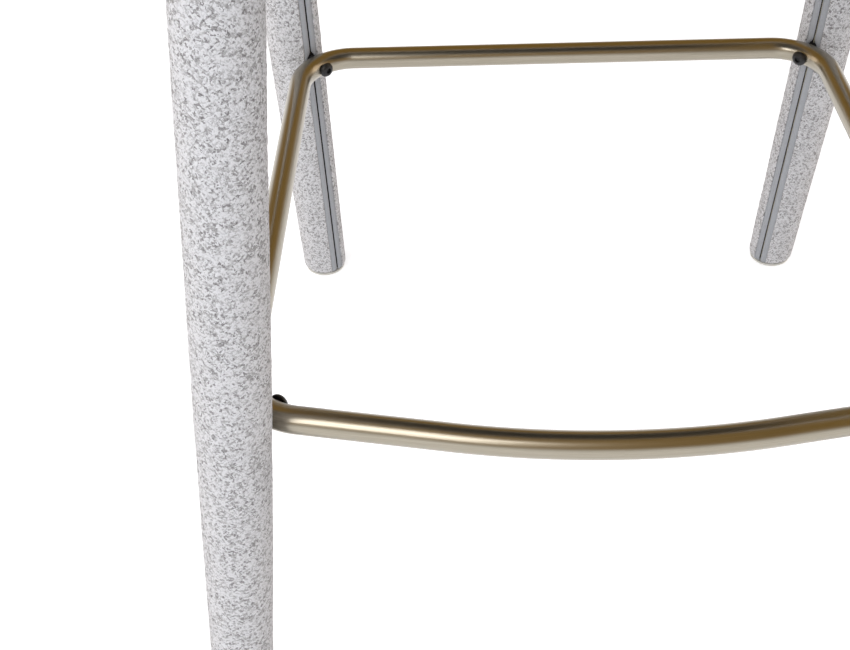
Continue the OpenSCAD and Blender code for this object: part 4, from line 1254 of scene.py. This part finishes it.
# %% [markdown]
# ## Floor, light and camera
# A plain pale floor, a large soft lamp in front and two weak warm ones at the sides show
# the cloth without hard shadows. The background is white only for rays that the camera or a shiny
# surface sends out, so it doesn't add light. High up it is darker and warm, as a room's
# ceiling is, which gives the bronze tube its dark upper band.


# %% Floor
def build_floor():
    floor = new_piece("floor", [(-9000, -9000, 0), (9000, -9000, 0), (9000, 9000, 0), (-9000, 9000, 0)],
                      [(0, 1, 2, 3)], smooth=False)
    material, tree, shader = new_material("Pale floor")
    shader.inputs["Base Color"].default_value = (0.9, 0.9, 0.9, 1)
    shader.inputs["Roughness"].default_value = 0.9
    shader.inputs["Specular IOR Level"].default_value = 0.1
    path = add(tree, "ShaderNodeLightPath")
    seen = maths(tree, "MAXIMUM", path.outputs["Is Camera Ray"], path.outputs["Is Glossy Ray"])
    seen = maths(tree, "MAXIMUM", seen, path.outputs["Is Transmission Ray"])
    glow = add(tree, "ShaderNodeEmission")
    feed(tree, glow.inputs["Strength"], maths(tree, "MULTIPLY", seen, 0.45))
    both = add(tree, "ShaderNodeAddShader")
    feed(tree, both.inputs[0], shader.outputs[0])
    feed(tree, both.inputs[1], glow.outputs[0])
    feed(tree, tree.nodes["Material Output"].inputs["Surface"], both.outputs[0])
    floor.data.materials.append(material)


build_floor()


# %% World
def build_world():
    world = bpy.data.worlds.new("Studio")
    scene.world = world
    world.use_nodes = True
    tree = world.node_tree
    tree.nodes.clear()
    place = add(tree, "ShaderNodeTexCoord")
    parts = add(tree, "ShaderNodeSeparateXYZ")
    feed(tree, parts.inputs[0], place.outputs["Generated"])
    height = ramp(tree, parts.outputs["Z"], 0.0, 0.28)
    room = mix_colour(tree, height, (1, 1, 1, 1), (0.36, 0.22, 0.05, 1))
    path = add(tree, "ShaderNodeLightPath")
    shiny = maths(tree, "MAXIMUM", path.outputs["Is Glossy Ray"], path.outputs["Is Transmission Ray"])
    lit = mix_colour(tree, shiny, (0.62, 0.62, 0.64, 1), room)
    seen = mix_colour(tree, path.outputs["Is Camera Ray"], lit, (1, 1, 1, 1))
    sky = add(tree, "ShaderNodeBackground")
    feed(tree, sky.inputs["Color"], seen)
    out = add(tree, "ShaderNodeOutputWorld")
    feed(tree, out.inputs["Surface"], sky.outputs[0])


build_world()


# %% Lamps
def area_lamp(name, place, target, size, power, colour):
    data = bpy.data.lights.new(name, "AREA")
    data.shape = "SQUARE"
    data.size = size
    data.energy = power
    data.color = colour
    lamp = bpy.data.objects.new(name, data)
    lamp.location = place
    lamp.rotation_euler = (Vector(target) - Vector(place)).to_track_quat("-Z", "Y").to_euler()
    scene.collection.objects.link(lamp)


area_lamp("Key", (-1.3, -2.0, 2.2), (0, 0, 0.35), 1.8, 44, (0.95, 0.97, 1.0))
area_lamp("Right rim", (2.2, 0.5, 1.0), (0, 0, 0.35), 1.6, 13, (1.0, 0.86, 0.72))
area_lamp("Left rim", (-2.2, 0.6, 0.9), (0, 0, 0.35), 1.4, 9, (1.0, 0.88, 0.76))

# %% Camera
CAMERA_PLACE = (-0.08849, -0.70818, 0.74954)
YAW, PITCH, ROLL = -0.02611, 0.72116, -0.03726
FOCAL = 1315.62


def build_camera():
    ahead = Vector((math.sin(YAW) * math.cos(PITCH), math.cos(YAW) * math.cos(PITCH), -math.sin(PITCH)))
    right = ahead.cross(Vector((0, 0, 1))).normalized()
    up = right.cross(ahead)
    right, up = (right * math.cos(ROLL) + up * math.sin(ROLL), up * math.cos(ROLL) - right * math.sin(ROLL))
    data = bpy.data.cameras.new("Camera")
    data.sensor_width = 36.0
    data.lens = FOCAL / 850 * 36.0
    data.clip_start, data.clip_end = 0.01, 50.0
    camera = bpy.data.objects.new("Camera", data)
    camera.matrix_world = Matrix((right, up, -ahead)).transposed().to_4x4()
    camera.location = CAMERA_PLACE
    scene.collection.objects.link(camera)
    scene.camera = camera


build_camera()
scene.view_settings.view_transform = "Standard"
